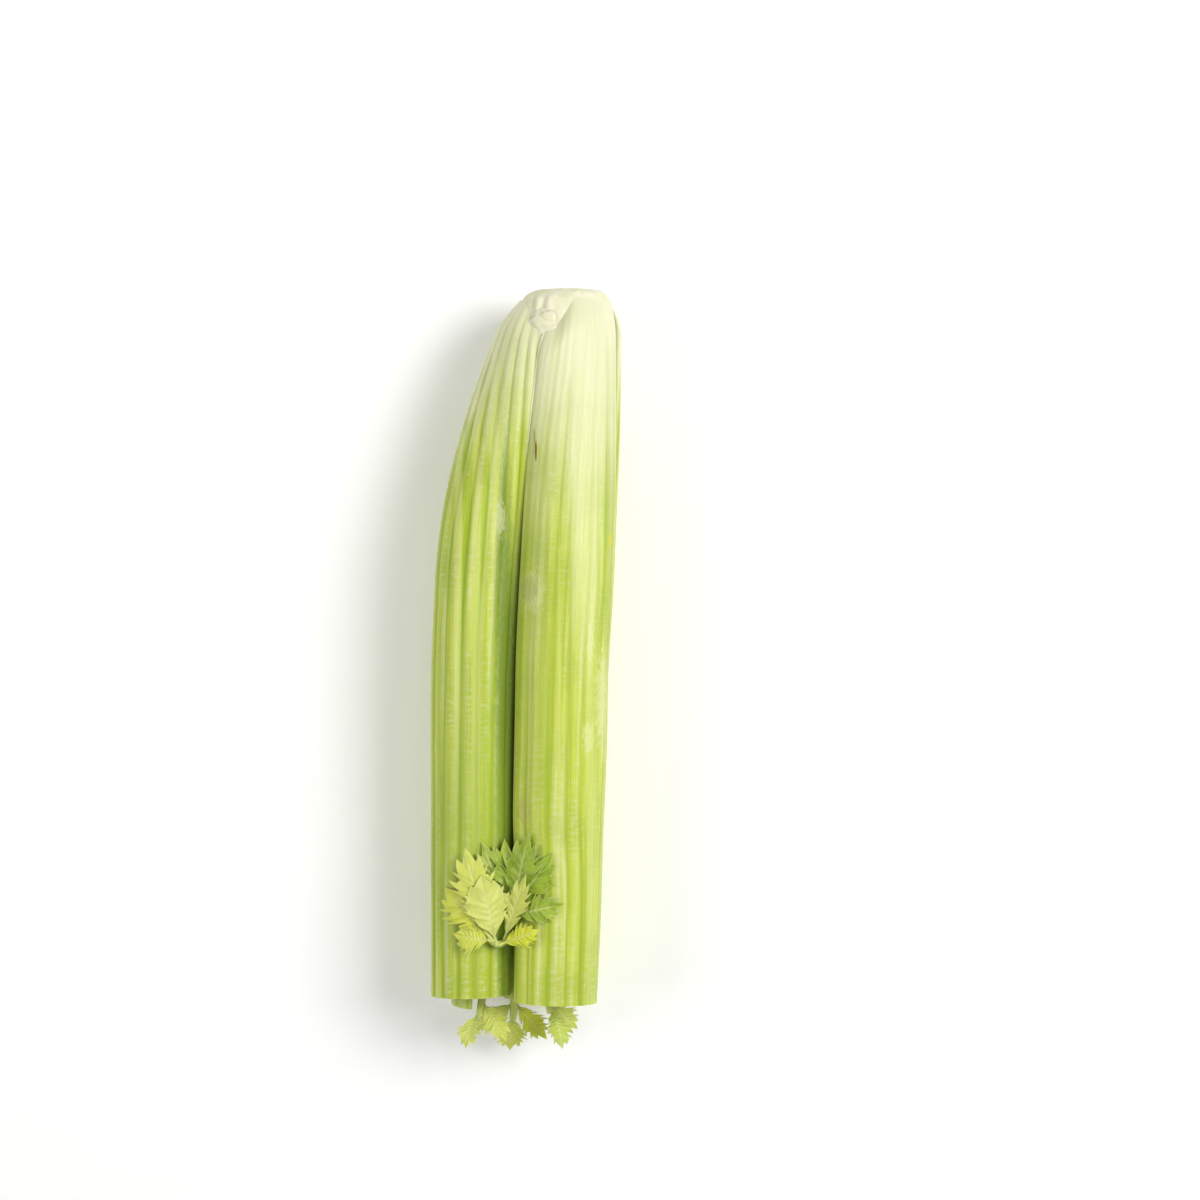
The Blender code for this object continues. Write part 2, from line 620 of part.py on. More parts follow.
clear_scene()
heart = bpy.data.objects.new("celery_heart", None)
bpy.context.scene.collection.objects.link(heart)
pieces = [make_crown(heart)]
for stalk_name, stalk_sizes in STALKS.items():
    pieces.append(make_stalk(stalk_name, stalk_sizes, heart))
pieces.append(make_core(heart))
for spray_name, spray_sizes in SPRAYS.items():
    pieces.append(make_spray(spray_name, spray_sizes, heart))
centre_on_surface(heart, pieces)
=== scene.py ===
import math

import bmesh
import bpy
import numpy as np
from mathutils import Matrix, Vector


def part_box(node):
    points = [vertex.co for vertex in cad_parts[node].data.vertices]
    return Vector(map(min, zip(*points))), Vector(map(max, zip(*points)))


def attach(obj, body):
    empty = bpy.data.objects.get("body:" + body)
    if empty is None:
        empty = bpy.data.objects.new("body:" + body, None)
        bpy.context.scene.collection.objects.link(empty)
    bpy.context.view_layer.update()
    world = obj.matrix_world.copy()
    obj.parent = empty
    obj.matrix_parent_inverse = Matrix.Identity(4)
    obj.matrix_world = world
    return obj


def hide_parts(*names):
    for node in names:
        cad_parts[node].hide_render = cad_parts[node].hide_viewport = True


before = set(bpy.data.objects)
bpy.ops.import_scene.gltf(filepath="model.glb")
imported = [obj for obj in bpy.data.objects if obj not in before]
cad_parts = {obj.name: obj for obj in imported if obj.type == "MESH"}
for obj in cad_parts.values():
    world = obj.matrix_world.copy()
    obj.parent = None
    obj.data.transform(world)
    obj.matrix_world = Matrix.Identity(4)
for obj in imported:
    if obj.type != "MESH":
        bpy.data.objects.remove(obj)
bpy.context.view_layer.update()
print("frame loaded")

# The heart's form in metres and degrees. It is the solids' form, but for the feet and margins
# near the root. s is the distance from the cut base, u runs across a stalk from -1 to 1.
heart = {
    "length": 0.229, "axisHeight": 0.0241,
    # how the stalks run from their places at the crown to their own
    "spreadStart": 0.004, "spreadEnd": 0.092, "spreadPower": 1.8, "turnPower": 1.3,
    # swing of the root end, drift and taper of the top, and where single stalks start to bow
    "baseSwing": 0.0150, "swingEnd": 0.125, "driftStart": 0.100, "topDrift": 0.018,
    "topTaper": 0.06, "floorHug": 0.0244, "bowStart": 0.04,
    "footRise": 0.011, "footWall": 0.3,            # length of a foot's rounding, share of its wall
    "marginThin": 0.38, "marginRound": (20, 7),    # powers at the foot and further up
    "scarAngle": 109, "scarClear": (11, 33), "scarLift": 0.0090,    # how the upper feet clear it
    "gapeZone": (0.165, 0.198),                    # where a stalk opens for the leaf stems
}
crownReach = 0.027689         # from the heart's own axis to the crown's furthest point right
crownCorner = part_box("root_crown")[1]
originX = crownCorner.x - crownReach
originY = crownCorner.y
metresPerPixel = 1 / 3100     # of the photograph's frame, at the stalks' height
originPixel = (521, 290)      # where the heart's own axis and cut base are in it


def mixed(low, high, share):
    # straight line from low at share 0 to high at share 1
    return low + (high - low) * share


def smoothStep(low, high, value):
    # 3 share^2 - 2 share^3, where share goes from 0 at low to 1 at high
    share = np.clip((value - low) / (high - low), 0, 1)
    return share * share * (3 - 2 * share)


def waves(value, seed, count, lowest, highest):
    # Sum of `count` sines of random pitch and phase, scaled to about -1 to 1.
    draw = np.random.default_rng(seed)
    total = 0
    for _ in range(count):
        total = total + np.sin(value * draw.uniform(lowest, highest) + draw.uniform(0, 6.28))
    return total / count ** 0.5


def toRow(x, s, z):
    # Heart's own place to the frame's: shifted, s turned to -Y, lifted by the axis height.
    return np.stack(np.broadcast_arrays(x + originX, originY - s, z + heart["axisHeight"]), -1)


def axisX(s):
    # baseSwing * (1 - s / swingEnd)^2 near the base, then a straight drift to the left
    bent = np.clip(1 - s / heart["swingEnd"], 0, None)
    drift = np.clip(s - heart["driftStart"], 0, None)
    return heart["baseSwing"] * bent ** 2 - heart["topDrift"] * drift


def taper(s):
    # 1 up to driftStart, then down in a straight line to 1 - topTaper at the top
    share = (s - heart["driftStart"]) / (heart["length"] - heart["driftStart"])
    return 1 - heart["topTaper"] * np.clip(share, 0, 1)


def spread(s):
    # 0 at the crown to 1 where the stalks have their own places: 1 - (1 - share)^spreadPower
    share = (s - heart["spreadStart"]) / (heart["spreadEnd"] - heart["spreadStart"])
    return 1 - (1 - np.clip(share, 0, 1)) ** heart["spreadPower"]


# foot, radius, wall and step of each layer's stalks at the crown
layers = {
    "outer": {"foot": 0.0032, "radius": 0.0176, "wall": 0.0036, "step": 0.0017},
    "middle": {"foot": 0.0090, "radius": 0.0132, "wall": 0.0030, "step": 0.0005},
    "inner": {"foot": 0.0155, "radius": 0.0088, "wall": 0.0023, "step": 0.0003},
}


def footLine(stalk, u):
    # Where a stalk starts: level, but lifted beside the scar on the outer layer.
    foot = layers[stalk["layer"]]["foot"]
    if stalk["layer"] != "outer":
        return foot
    angle = mixed(stalk["foot"][0], stalk["foot"][1], (u + 1) / 2)
    beside = 1 - smoothStep(*heart["scarClear"], np.abs(angle - heart["scarAngle"]))
    return foot + heart["scarLift"] * beside


def stalkPoint(stalk, u, s, relief, inner):
    # Point of a stalk: a circle arc round its own centre at angle(u), less the wall inside.
    # Centre, radius, arc and wall all run from the crown's values to the stalk's with spread(s).
    layer = layers[stalk["layer"]]
    share = spread(s)
    turned = share ** heart["turnPower"]
    start = mixed(stalk["foot"][0], stalk["span"][0], turned)
    end = mixed(stalk["foot"][1], stalk["span"][1], turned)
    end = end - stalk.get("gape", 0) * smoothStep(*heart["gapeZone"], s)
    angle = np.radians(mixed(start, end, (u + 1) / 2))
    rise = np.sin(np.clip((s - footLine(stalk, u)) / heart["footRise"], 0, 1) * math.pi / 2)
    grow = mixed(heart["footWall"], 1, rise)
    radius = mixed(layer["radius"], stalk["radius"], share) * taper(s) - layer["wall"] * (1 - grow)
    radius = radius + mixed(layer["step"] * rise, stalk["step"], share) * u
    wall = mixed(layer["wall"], stalk["wall"], share) * grow * (1 - heart["marginThin"] * u * u)
    edge = np.sqrt(np.clip(1 - np.abs(u) ** mixed(*heart["marginRound"], share), 0, 1))
    radius = radius - 0.5 * wall * (1 - edge)
    radius = radius - wall * edge * (1 + relief) if inner else radius - relief * rise * edge
    bowShare = (s - heart["bowStart"]) / (heart["length"] - heart["bowStart"])
    bow = np.sin(np.clip(bowShare, 0, 1) * math.pi) ** 2
    out = share * taper(s)
    x = axisX(s) + stalk["centre"][0] * out + stalk["sway"][0] * bow + radius * np.cos(angle)
    z = stalk["centre"][1] * out + stalk["sway"][1] * bow + radius * np.sin(angle)
    if stalk["layer"] == "outer" and stalk["centre"][1] < 0:
        z = z - heart["floorHug"] * (1 - taper(s))
    return toRow(x, s, np.maximum(z, -heart["axisHeight"]))


# Mesh helpers: a part is its points, its squares and its marks, one value a point.
weldStep = 2e-7     # metres
creaseAngle = 60    # degrees, edges above it are shaded sharp


def gridQuads(rows, columns, wrap):
    # Corner numbers of every square of a grid of points, wrapping across where asked.
    here = np.arange(rows * columns).reshape(rows, columns)
    beside = np.roll(here, -1, axis=1)
    if not wrap:
        here, beside = here[:, :-1], beside[:, :-1]
    return np.stack((here[:-1], beside[:-1], beside[1:], here[1:]), -1).reshape(-1, 4)


def gridPart(grid, wrap, **marks):
    # Part of a grid of points, with each mark spread over the grid.
    size = grid.shape[:2]
    marks = {key: np.broadcast_to(value, size).astype(float).reshape(-1) for key, value in marks.items()}
    return grid.reshape(-1, 3), gridQuads(*size, wrap), marks


def joinParts(parts):
    # Several parts with the same marks as one.
    start = 0
    points, quads, marks = [], [], {}
    for partPoints, partQuads, partMarks in parts:
        points.append(partPoints)
        quads.append(partQuads + start)
        start += len(partPoints)
        for key, value in partMarks.items():
            marks.setdefault(key, []).append(value)
    marks = {key: np.concatenate(values) for key, values in marks.items()}
    return np.concatenate(points), np.concatenate(quads), marks


def weld(points, quads, marks):
    # Merge points that share a place. A square with one side closed turns into a triangle, and
    # one with more sides closed is dropped.
    keys = np.round(points / weldStep).astype(np.int64)
    _, first, number = np.unique(keys, axis=0, return_index=True, return_inverse=True)
    quads = number.reshape(-1)[quads]
    same = quads == np.roll(quads, -1, axis=1)
    closed = same.sum(1)
    tris = quads[closed == 1][~same[closed == 1]].reshape(-1, 3)
    faces = quads[closed == 0].tolist() + tris.tolist()
    return points[first], faces, {key: value[first] for key, value in marks.items()}


def makePiece(name, part, material, nodes, sharp=creaseAngle):
    # Weld a part into an object with its marks as attributes, and seat it on the frame.
    points, faces, marks = weld(*part)
    mesh = bpy.data.meshes.new(name)
    mesh.from_pydata(points.tolist(), [], faces)
    for key, value in marks.items():
        attribute = mesh.attributes.new(key, "FLOAT", "POINT")
        attribute.data.foreach_set("value", value.astype(np.float32))
    shell = bmesh.new()
    shell.from_mesh(mesh)
    bmesh.ops.recalc_face_normals(shell, faces=shell.faces)
    shell.to_mesh(mesh)
    shell.free()
    mesh.shade_smooth()
    mesh.set_sharp_from_angle(angle=math.radians(sharp))
    mesh.materials.append(material)
    piece = bpy.data.objects.new(name, mesh)
    bpy.context.scene.collection.objects.link(piece)
    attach(piece, "root")
    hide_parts(*nodes)


def smoothPath(points, steps):
    # Catmull-Rom curve through the points, read at evenly spaced values.
    points = np.array(points)
    padded = np.vstack((2 * points[0] - points[1], points, 2 * points[-1] - points[-2]))
    place = np.linspace(0, len(points) - 1, steps)
    first = np.minimum(place.astype(int), len(points) - 2)
    t = (place - first)[:, None]
    a, b, c, d = (padded[first + k] for k in range(4))
    return 0.5 * (2 * b + (c - a) * t + (2 * a - 5 * b + 4 * c - d) * t ** 2
                  + (3 * b - a - 3 * c + d) * t ** 3)


tubeForm = {"facing": (0.0, 0.35, 1.0), "grooveWidth": 0.45, "ribs": 6, "ribDepth": 0.05}


def tube(path, radii, columns, groove=0.0):
    # Circle carried along a path, less a bell-shaped groove on the side that faces `facing` and
    # shallow cosine ribs, and its two ends.
    tangent = np.gradient(path, axis=0)
    tangent /= np.linalg.norm(tangent, axis=1)[:, None]
    side = np.cross(tangent, tubeForm["facing"])
    side /= np.linalg.norm(side, axis=1)[:, None]
    up = np.cross(side, tangent)
    angle = np.arange(columns) * 2 * math.pi / columns
    dip = 1 - groove * np.exp(-((angle - math.pi / 2) / tubeForm["grooveWidth"]) ** 2)
    ribs = 1 - tubeForm["ribDepth"] * (1 - np.cos(angle * tubeForm["ribs"]))
    radius = np.asarray(radii)[:, None] * (dip * ribs)[None]
    wall = path[:, None] + radius[..., None] * (side[:, None] * np.cos(angle)[None, :, None]
                                                + up[:, None] * np.sin(angle)[None, :, None])
    ends = [np.stack((row, np.broadcast_to(row.mean(0), row.shape))) for row in (wall[0], wall[-1])]
    return [wall, *ends]


# Material helpers: values and colours are node sockets or plain numbers.


def colour(code):
    # Linear colour of an sRGB code of six hexadecimal digits.
    share = np.array([int(code[k:k + 2], 16) for k in (0, 2, 4)]) / 255
    linear = np.where(share <= 0.04045, share / 12.92, ((share + 0.055) / 1.055) ** 2.4)
    return (*linear.tolist(), 1.0)


def addNode(tree, kind, settings=(), **sockets):
    # Add a node, set its settings, then its sockets by name or, as i0 or i1, by number.
    made = tree.nodes.new(kind)
    for key, value in dict(settings).items():
        setattr(made, key, value)
    for key, value in sockets.items():
        socket = made.inputs[int(key[1:]) if key[1:].isdigit() else key]
        if isinstance(value, bpy.types.NodeSocket):
            tree.links.new(value, socket)
        else:
            socket.default_value = value
    return made


def calc(tree, operation, *values):
    # result of one Math node
    sockets = {f"i{k}": value for k, value in enumerate(values)}
    return addNode(tree, "ShaderNodeMath", {"operation": operation}, **sockets).outputs[0]


def bothWays(tree, value, amount):
    # (value - 0.5) * amount, so that a grain goes up and down
    return calc(tree, "MULTIPLY", calc(tree, "SUBTRACT", value, 0.5), amount)


def squareSum(tree, a, b):
    # a^2 + b^2
    return calc(tree, "ADD", calc(tree, "MULTIPLY", a, a), calc(tree, "MULTIPLY", b, b))


def mark(tree, name):
    # one of the piece's marks
    return addNode(tree, "ShaderNodeAttribute", {"attribute_name": name}).outputs["Fac"]


def places(tree):
    # Object X, Y and Z.
    where = addNode(tree, "ShaderNodeTexCoord").outputs["Object"]
    return tuple(addNode(tree, "ShaderNodeSeparateXYZ", i0=where).outputs)


def ranged(tree, value, low, high, toLow=0.0, toHigh=1.0):
    # Smooth step from toLow to toHigh while the value goes from low to high.
    settings = {"interpolation_type": "SMOOTHSTEP"}
    sockets = {"i0": value, "i1": low, "i2": high, "i3": toLow, "i4": toHigh}
    return addNode(tree, "ShaderNodeMapRange", settings, **sockets).outputs[0]


def paint(tree, share, under, over):
    # under * (1 - share) + over * share
    sockets = {"i0": share, "i6": under, "i7": over}
    return addNode(tree, "ShaderNodeMix", {"data_type": "RGBA"}, **sockets).outputs[2]


def stain(tree, under, over, value, low, high, most=1.0):
    # One colour over another, up to the share `most` where the value goes from low to high.
    return paint(tree, ranged(tree, value, low, high, 0.0, most), under, over)


def grain(tree, place, scale, detail=2.0, roughness=0.5):
    # Noise at a place of three values, each times its scale. A third with no scale is a seed.
    scaled = {f"i{k}": calc(tree, "MULTIPLY", value, scale[k]) if k < len(scale) else value
              for k, value in enumerate(place)}
    vector = addNode(tree, "ShaderNodeCombineXYZ", **scaled).outputs[0]
    sockets = {"Vector": vector, "Scale": 1.0, "Detail": detail, "Roughness": roughness}
    return addNode(tree, "ShaderNodeTexNoise", **sockets).outputs[0]


scarGrain = (1800.0, 420.0, 1800.0)


def patch(tree, here, pixel, half, fuzz, softness):
    # Mask of a mark centred on a pixel of the photograph's frame, half sizes in pixels:
    # 1 where (dx / halfX)^2 + (dy / halfY)^2, blurred by a grain of strength fuzz, is under 1.
    centreX = (pixel[0] - originPixel[0]) * metresPerPixel + originX
    centreY = originY - (pixel[1] - originPixel[1]) * metresPerPixel
    acrossWay, alongWay = (
        calc(tree, "DIVIDE", calc(tree, "SUBTRACT", value, centre), size * metresPerPixel)
        for value, centre, size in zip(here, (centreX, centreY), half))
    far = squareSum(tree, acrossWay, alongWay)
    far = calc(tree, "ADD", far, bothWays(tree, grain(tree, here, scarGrain, 3.0, 0.7), fuzz))
    return ranged(tree, far, 1.0 + softness, 1.0 - softness)


def newMaterial(name):
    # material with its node tree and its shader
    material = bpy.data.materials.new(name)
    material.use_nodes = True
    tree = material.node_tree
    return material, tree, tree.nodes["Principled BSDF"]


def dress(tree, shader, look, skin, height):
    # Colour and bump are linked, and what is the same all over is set on the shader's sockets.
    strength, distance = look["bump"]
    bump = addNode(tree, "ShaderNodeBump", Strength=strength, Distance=distance, Height=height)
    tree.links.new(skin, shader.inputs["Base Color"])
    tree.links.new(bump.outputs[0], shader.inputs["Normal"])
    shader.inputs["Roughness"].default_value = look["roughness"]
    shader.inputs["Specular IOR Level"].default_value = look["specular"]
    shader.inputs["Subsurface Weight"].default_value = look["subsurface"]
    shader.inputs["Subsurface Radius"].default_value = look["subsurfaceRadius"]
    shader.inputs["Subsurface Scale"].default_value = look["subsurfaceScale"]


# Stalks
skinLook = {
    "cream": "F1EFCC", "crest": "D2DC58", "furrow": "A8BE2A", "deep": "8FA826",
    "inside": "CDDA88", "cut": "E4EBB8", "cutRim": "A6BE48", "bundle": "A8AE58",
    "roughness": 0.34, "roughSwing": 0.35, "cutRough": 0.18, "specular": 0.3,
    "bump": (0.55, 0.00025), "fineBump": 0.55, "ridgeBump": 0.5, "poreBump": 0.18,
    "subsurface": 0.25, "subsurfaceRadius": (1.0, 1.1, 0.4), "subsurfaceScale": 0.0012,
    # scales of the grains across and along the stalk, and of the last two in X, Y and Z
    "fibre": (42.0, 22.0), "fine": (190.0, 60.0), "band": (11.0, 7.0), "pucker": (6.0, 820.0),
    "blotch": (90.0, 45.0, 90.0), "pores": (2600.0, 1500.0, 2600.0),
    # where along the stalk green comes in, and how far grains and ribs shift it
    "greenFrom": -0.012, "blotchShift": 0.03, "ribShift": 0.010, "fibreShift": 0.035,
    # where a colour comes in, where it has its greatest share, and that share
    "paleBands": (0.50, 0.72, 0.45), "deepBands": (0.48, 0.30, 0.45), "blotches": (0.42, 0.70, 0.35),
    "fineLines": (0.48, 0.66, 0.55), "rootLines": (0.30, 0.75, 0.16), "poreDots": (0.45, 0.7, 0.35),
    "crestFibres": 1.5, "crestZone": (0.10, 1.10), "liningFibres": (0.35, 0.65),
    "wrinkleLines": (0.45, 0.68), "wrinkleCrests": (0.45, 0.95), "wrinkleBands": (0.80, 1.12, 0.25, 1.0),
    "patchHeights": (0.0300, 0.0345),
    # cut faces: rim's distance from the middle, strand's place and narrowness in rib and depth
    "rim": (0.34, 0.49), "strandAt": (1.0, 0.22), "strandPinch": (5.0, 11.0), "strand": (1.3, 0.1, 0.75),
}

# Strips follow the skin under the cream of the root, and scars lie over it: pixel,
# half size in pixels, colour, fuzz, softness and strength. Some strips are real lines and
# some are painted shade and painted highlight, as marked at each.
stalkStripsAndPaintedLight = {
    "outer_stalk_right": [
        # painted highlight: the right stalk's light band, where the light falls most
        ((587, 450), (16, 190), "F1F3B4", 1.5, 0.9, 0.50),
        ((590, 780), (4, 200), "E0E88C", 1.5, 0.9, 0.40),
        # painted shade: the right stalk's duller left half, turned away from the light
        ((534, 600), (15, 290), "A3B440", 1.5, 0.9, 0.42),
        ((548, 560), (2.4, 230), "A9BC34", 1.5, 0.6, 0.45),
        ((571, 640), (1.6, 200), "B0C238", 1.5, 0.6, 0.45),
        ((560, 700), (1.4, 190), "DDE584", 1.5, 0.6, 0.35),
        ((598, 640), (1.8, 220), "BACA44", 1.5, 0.6, 0.40),
        # painted shade: darker along the right margin, next to the dark gap beside it
        ((613, 640), (8, 330), "A4B832", 1.0, 0.8, 0.55),
    ],
    "outer_stalk_left": [
        # these three: the ribs' own paler colour, with a painted highlight on them
        ((460, 560), (4.0, 230), "E2E88C", 1.5, 0.7, 0.50),
        ((478, 640), (4.5, 300), "DEE580", 1.5, 0.7, 0.50),
        ((495, 450), (4.0, 130), "DFE690", 1.5, 0.7, 0.45),
        ((467, 620), (3.0, 300), "A2BC22", 1.5, 0.7, 0.45),
        ((487, 650), (2.4, 260), "A6BE2A", 1.5, 0.7, 0.40),
        # painted shade: the valley down the left stalk's side, under the right stalk's margin
        ((506, 760), (9.0, 300), "67831E", 1.5, 0.9, 0.90),
        # painted shade: the lower left of the stalk made darker
        ((470, 850), (46, 110), "9FB63A", 1.5, 0.9, 0.40),
        ((438, 640), (5.0, 260), "BACB5C", 1.5, 0.8, 0.35),
    ],
}
stalkScarsAndSheen = {
    "outer_stalk_right": [
        ((536, 449), (1.7, 13), "B9A254", 2.5, 0.6, 0.40),
        ((540, 454), (1.8, 8), "C6C832", 2.5, 0.6, 0.55),
        ((537, 453), (0.8, 10), "4A2C10", 1.2, 0.3, 0.95),
        ((535.2, 438), (0.55, 7), "7E6438", 1.0, 0.4, 0.65),
        ((533, 592), (12, 17), "E2E2A4", 9.0, 0.3, 0.40),
        ((530, 590), (7, 11), "8F9748", 9.0, 0.3, 0.45),
        ((610, 541), (1.9, 7), "D2CC2C", 3.0, 0.3, 0.90),
        ((602, 700), (6, 46), "ECEDB4", 8.0, 0.5, 0.45),
        # a scuff, with its sheen painted in as a paler colour
        ((588, 736), (5, 15), "ECEDB4", 8.0, 0.5, 0.40),
        ((525, 809), (6, 12), "B5AC58", 8.0, 0.3, 0.60),
        ((591, 640), (3, 20), "F0F0BE", 9.0, 0.3, 0.35),
    ],
    "outer_stalk_left": [
        ((502, 520), (4, 16), "F0F0C6", 9.0, 0.3, 0.40),
        ((470, 405), (7, 10), "EFEFC4", 9.0, 0.3, 0.35),
    ],
}


def stalkMaterial(name, look, wrinkles, furrows=0.9, creamTo=0.060, strips=(), scars=()):
    # Skin that goes from cream at the base to green, pale on the rib crests. Its strips carry painted
    # shade and painted highlight, and one scar a painted sheen.
    material, tree, shader = newMaterial(name)
    along, across, rib = (mark(tree, key) for key in ("along", "across", "rib"))
    inside, cut, depth = (mark(tree, key) for key in ("inside", "cut", "depth"))
    cream, crestTint, furrow, deep = (colour(look[key]) for key in ("cream", "crest", "furrow", "deep"))
    here = places(tree)
    seed = float(sum(map(ord, name)) % 97)
    fibre = grain(tree, (across, along, seed), look["fibre"], 3.0)
    fine = grain(tree, (across, along, seed), look["fine"], 3.0)
    band = grain(tree, (across, along, seed + 40.0), look["band"])
    pucker = grain(tree, (across, along, seed), look["pucker"], 2.0, 0.6)
    blotch = grain(tree, here, look["blotch"])
    pores = grain(tree, here, look["pores"])

    # green share rises along the stalk, with the ribs' and the blotches' own rhythm
    start = calc(tree, "ADD", along, bothWays(tree, blotch, look["blotchShift"]))
    start = calc(tree, "SUBTRACT", start, calc(tree, "MULTIPLY", rib, look["ribShift"]))
    start = calc(tree, "ADD", start, bothWays(tree, fibre, look["fibreShift"]))
    green = ranged(tree, start, look["greenFrom"], creamTo)
    crest = calc(tree, "ADD", rib, bothWays(tree, fibre, look["crestFibres"]))
    crest = ranged(tree, crest, *look["crestZone"], 1.0 - furrows, 1.0)
    skin = paint(tree, crest, furrow, crestTint)
    skin = stain(tree, skin, cream, band, *look["paleBands"])
    skin = stain(tree, skin, deep, band, *look["deepBands"])
    skin = stain(tree, skin, deep, blotch, *look["blotches"])
    skin = stain(tree, skin, furrow, fine, *look["fineLines"])

    # pale cross wrinkles on the crests, in some bands more than in others
    onCrest = ranged(tree, crest, *look["wrinkleCrests"], 0.0, wrinkles)
    inBand = ranged(tree, calc(tree, "ADD", band, blotch), *look["wrinkleBands"])
    ridge = calc(tree, "MULTIPLY", ranged(tree, pucker, *look["wrinkleLines"]), onCrest)
    ridge = calc(tree, "MULTIPLY", ridge, inBand)
    skin = paint(tree, ridge, skin, cream)

    # strips, with their painted shade and highlight, and scars, one with a painted sheen, are on the
    # outside and come in between the patch heights
    upperSide = ranged(tree, here[2], *look["patchHeights"])
    upperSide = calc(tree, "MULTIPLY", ranged(tree, inside, 0.6, 0.4), upperSide)

    def paintPatches(skin, patches):
        # each patch's colour over the skin, by its mask times its strength
        for pixel, half, code, fuzz, softness, strength in patches:
            spot = calc(tree, "MULTIPLY", patch(tree, here, pixel, half, fuzz, softness), strength)
            skin = paint(tree, calc(tree, "MULTIPLY", spot, upperSide), skin, colour(code))
        return skin

    # the strips: real lines, painted shade and painted highlight
    skin = paintPatches(skin, strips)
    lining = stain(tree, colour(look["inside"]), crestTint, fibre, *look["liningFibres"])
    skin = stain(tree, skin, lining, inside, 0.2, 0.8)
    skin = paint(tree, green, cream, skin)
    skin = stain(tree, skin, furrow, fine, *look["rootLines"])
    # the scars: real blemishes and one painted sheen
    skin = paintPatches(skin, scars)

    # the cut faces: green rims, pale middle and a strand under each rib, all cream at the root
    fromMiddle = calc(tree, "ABSOLUTE", calc(tree, "SUBTRACT", depth, 0.5))
    flesh = stain(tree, colour(look["cut"]), colour(look["cutRim"]), fromMiddle, *look["rim"])
    sideWay, deepWay = (
        calc(tree, "MULTIPLY", calc(tree, "SUBTRACT", value, at), pinch)
        for value, at, pinch in zip((rib, depth), look["strandAt"], look["strandPinch"]))
    far = squareSum(tree, sideWay, deepWay)
    flesh = stain(tree, flesh, colour(look["bundle"]), far, *look["strand"])
    flesh = stain(tree, flesh, colour(look["cutRim"]), pores, *look["poreDots"])
    flesh = paint(tree, green, cream, flesh)
    skin = stain(tree, skin, flesh, cut, 0.3, 0.7)

    height = calc(tree, "MULTIPLY", fine, look["fineBump"])
    height = calc(tree, "ADD", height, calc(tree, "MULTIPLY", ridge, look["ridgeBump"]))
    height = calc(tree, "ADD", height, calc(tree, "MULTIPLY", pores, look["poreBump"]))
    dress(tree, shader, look, skin, height)
    rough = calc(tree, "ADD", look["roughness"], bothWays(tree, fibre, look["roughSwing"]))
    rough = calc(tree, "ADD", rough, calc(tree, "MULTIPLY", cut, look["cutRough"]))
    tree.links.new(rough, shader.inputs["Roughness"])
    return material


# What stalks of one kind share
underKind = {"layer": "outer", "wall": 0.0066, "step": 0.0002, "ribs": 7, "grid": (116, 150),
             "ribDepth": 0.00070, "ribPower": 2.4, "fine": 0.00008, "wrinkles": 0.16}
middleKind = {"layer": "middle", "step": 0.0, "ribPower": 2.4, "fine": 0.00004, "wrinkles": 0.12}
wideKind = {**middleKind, "wall": 0.0054, "ribs": 5, "grid": (80, 120), "ribDepth": 0.00050}
narrowKind = {**middleKind, "ribs": 4, "grid": (70, 120), "ribDepth": 0.00045}
innerKind = {"layer": "inner", "step": 0.0, "top": 0.206, "tilt": 0.0, "ribs": 3, "grid": (54, 90),
             "ribDepth": 0.00030, "ribPower": 2.2, "fine": 0.00003, "wrinkles": 0.2}
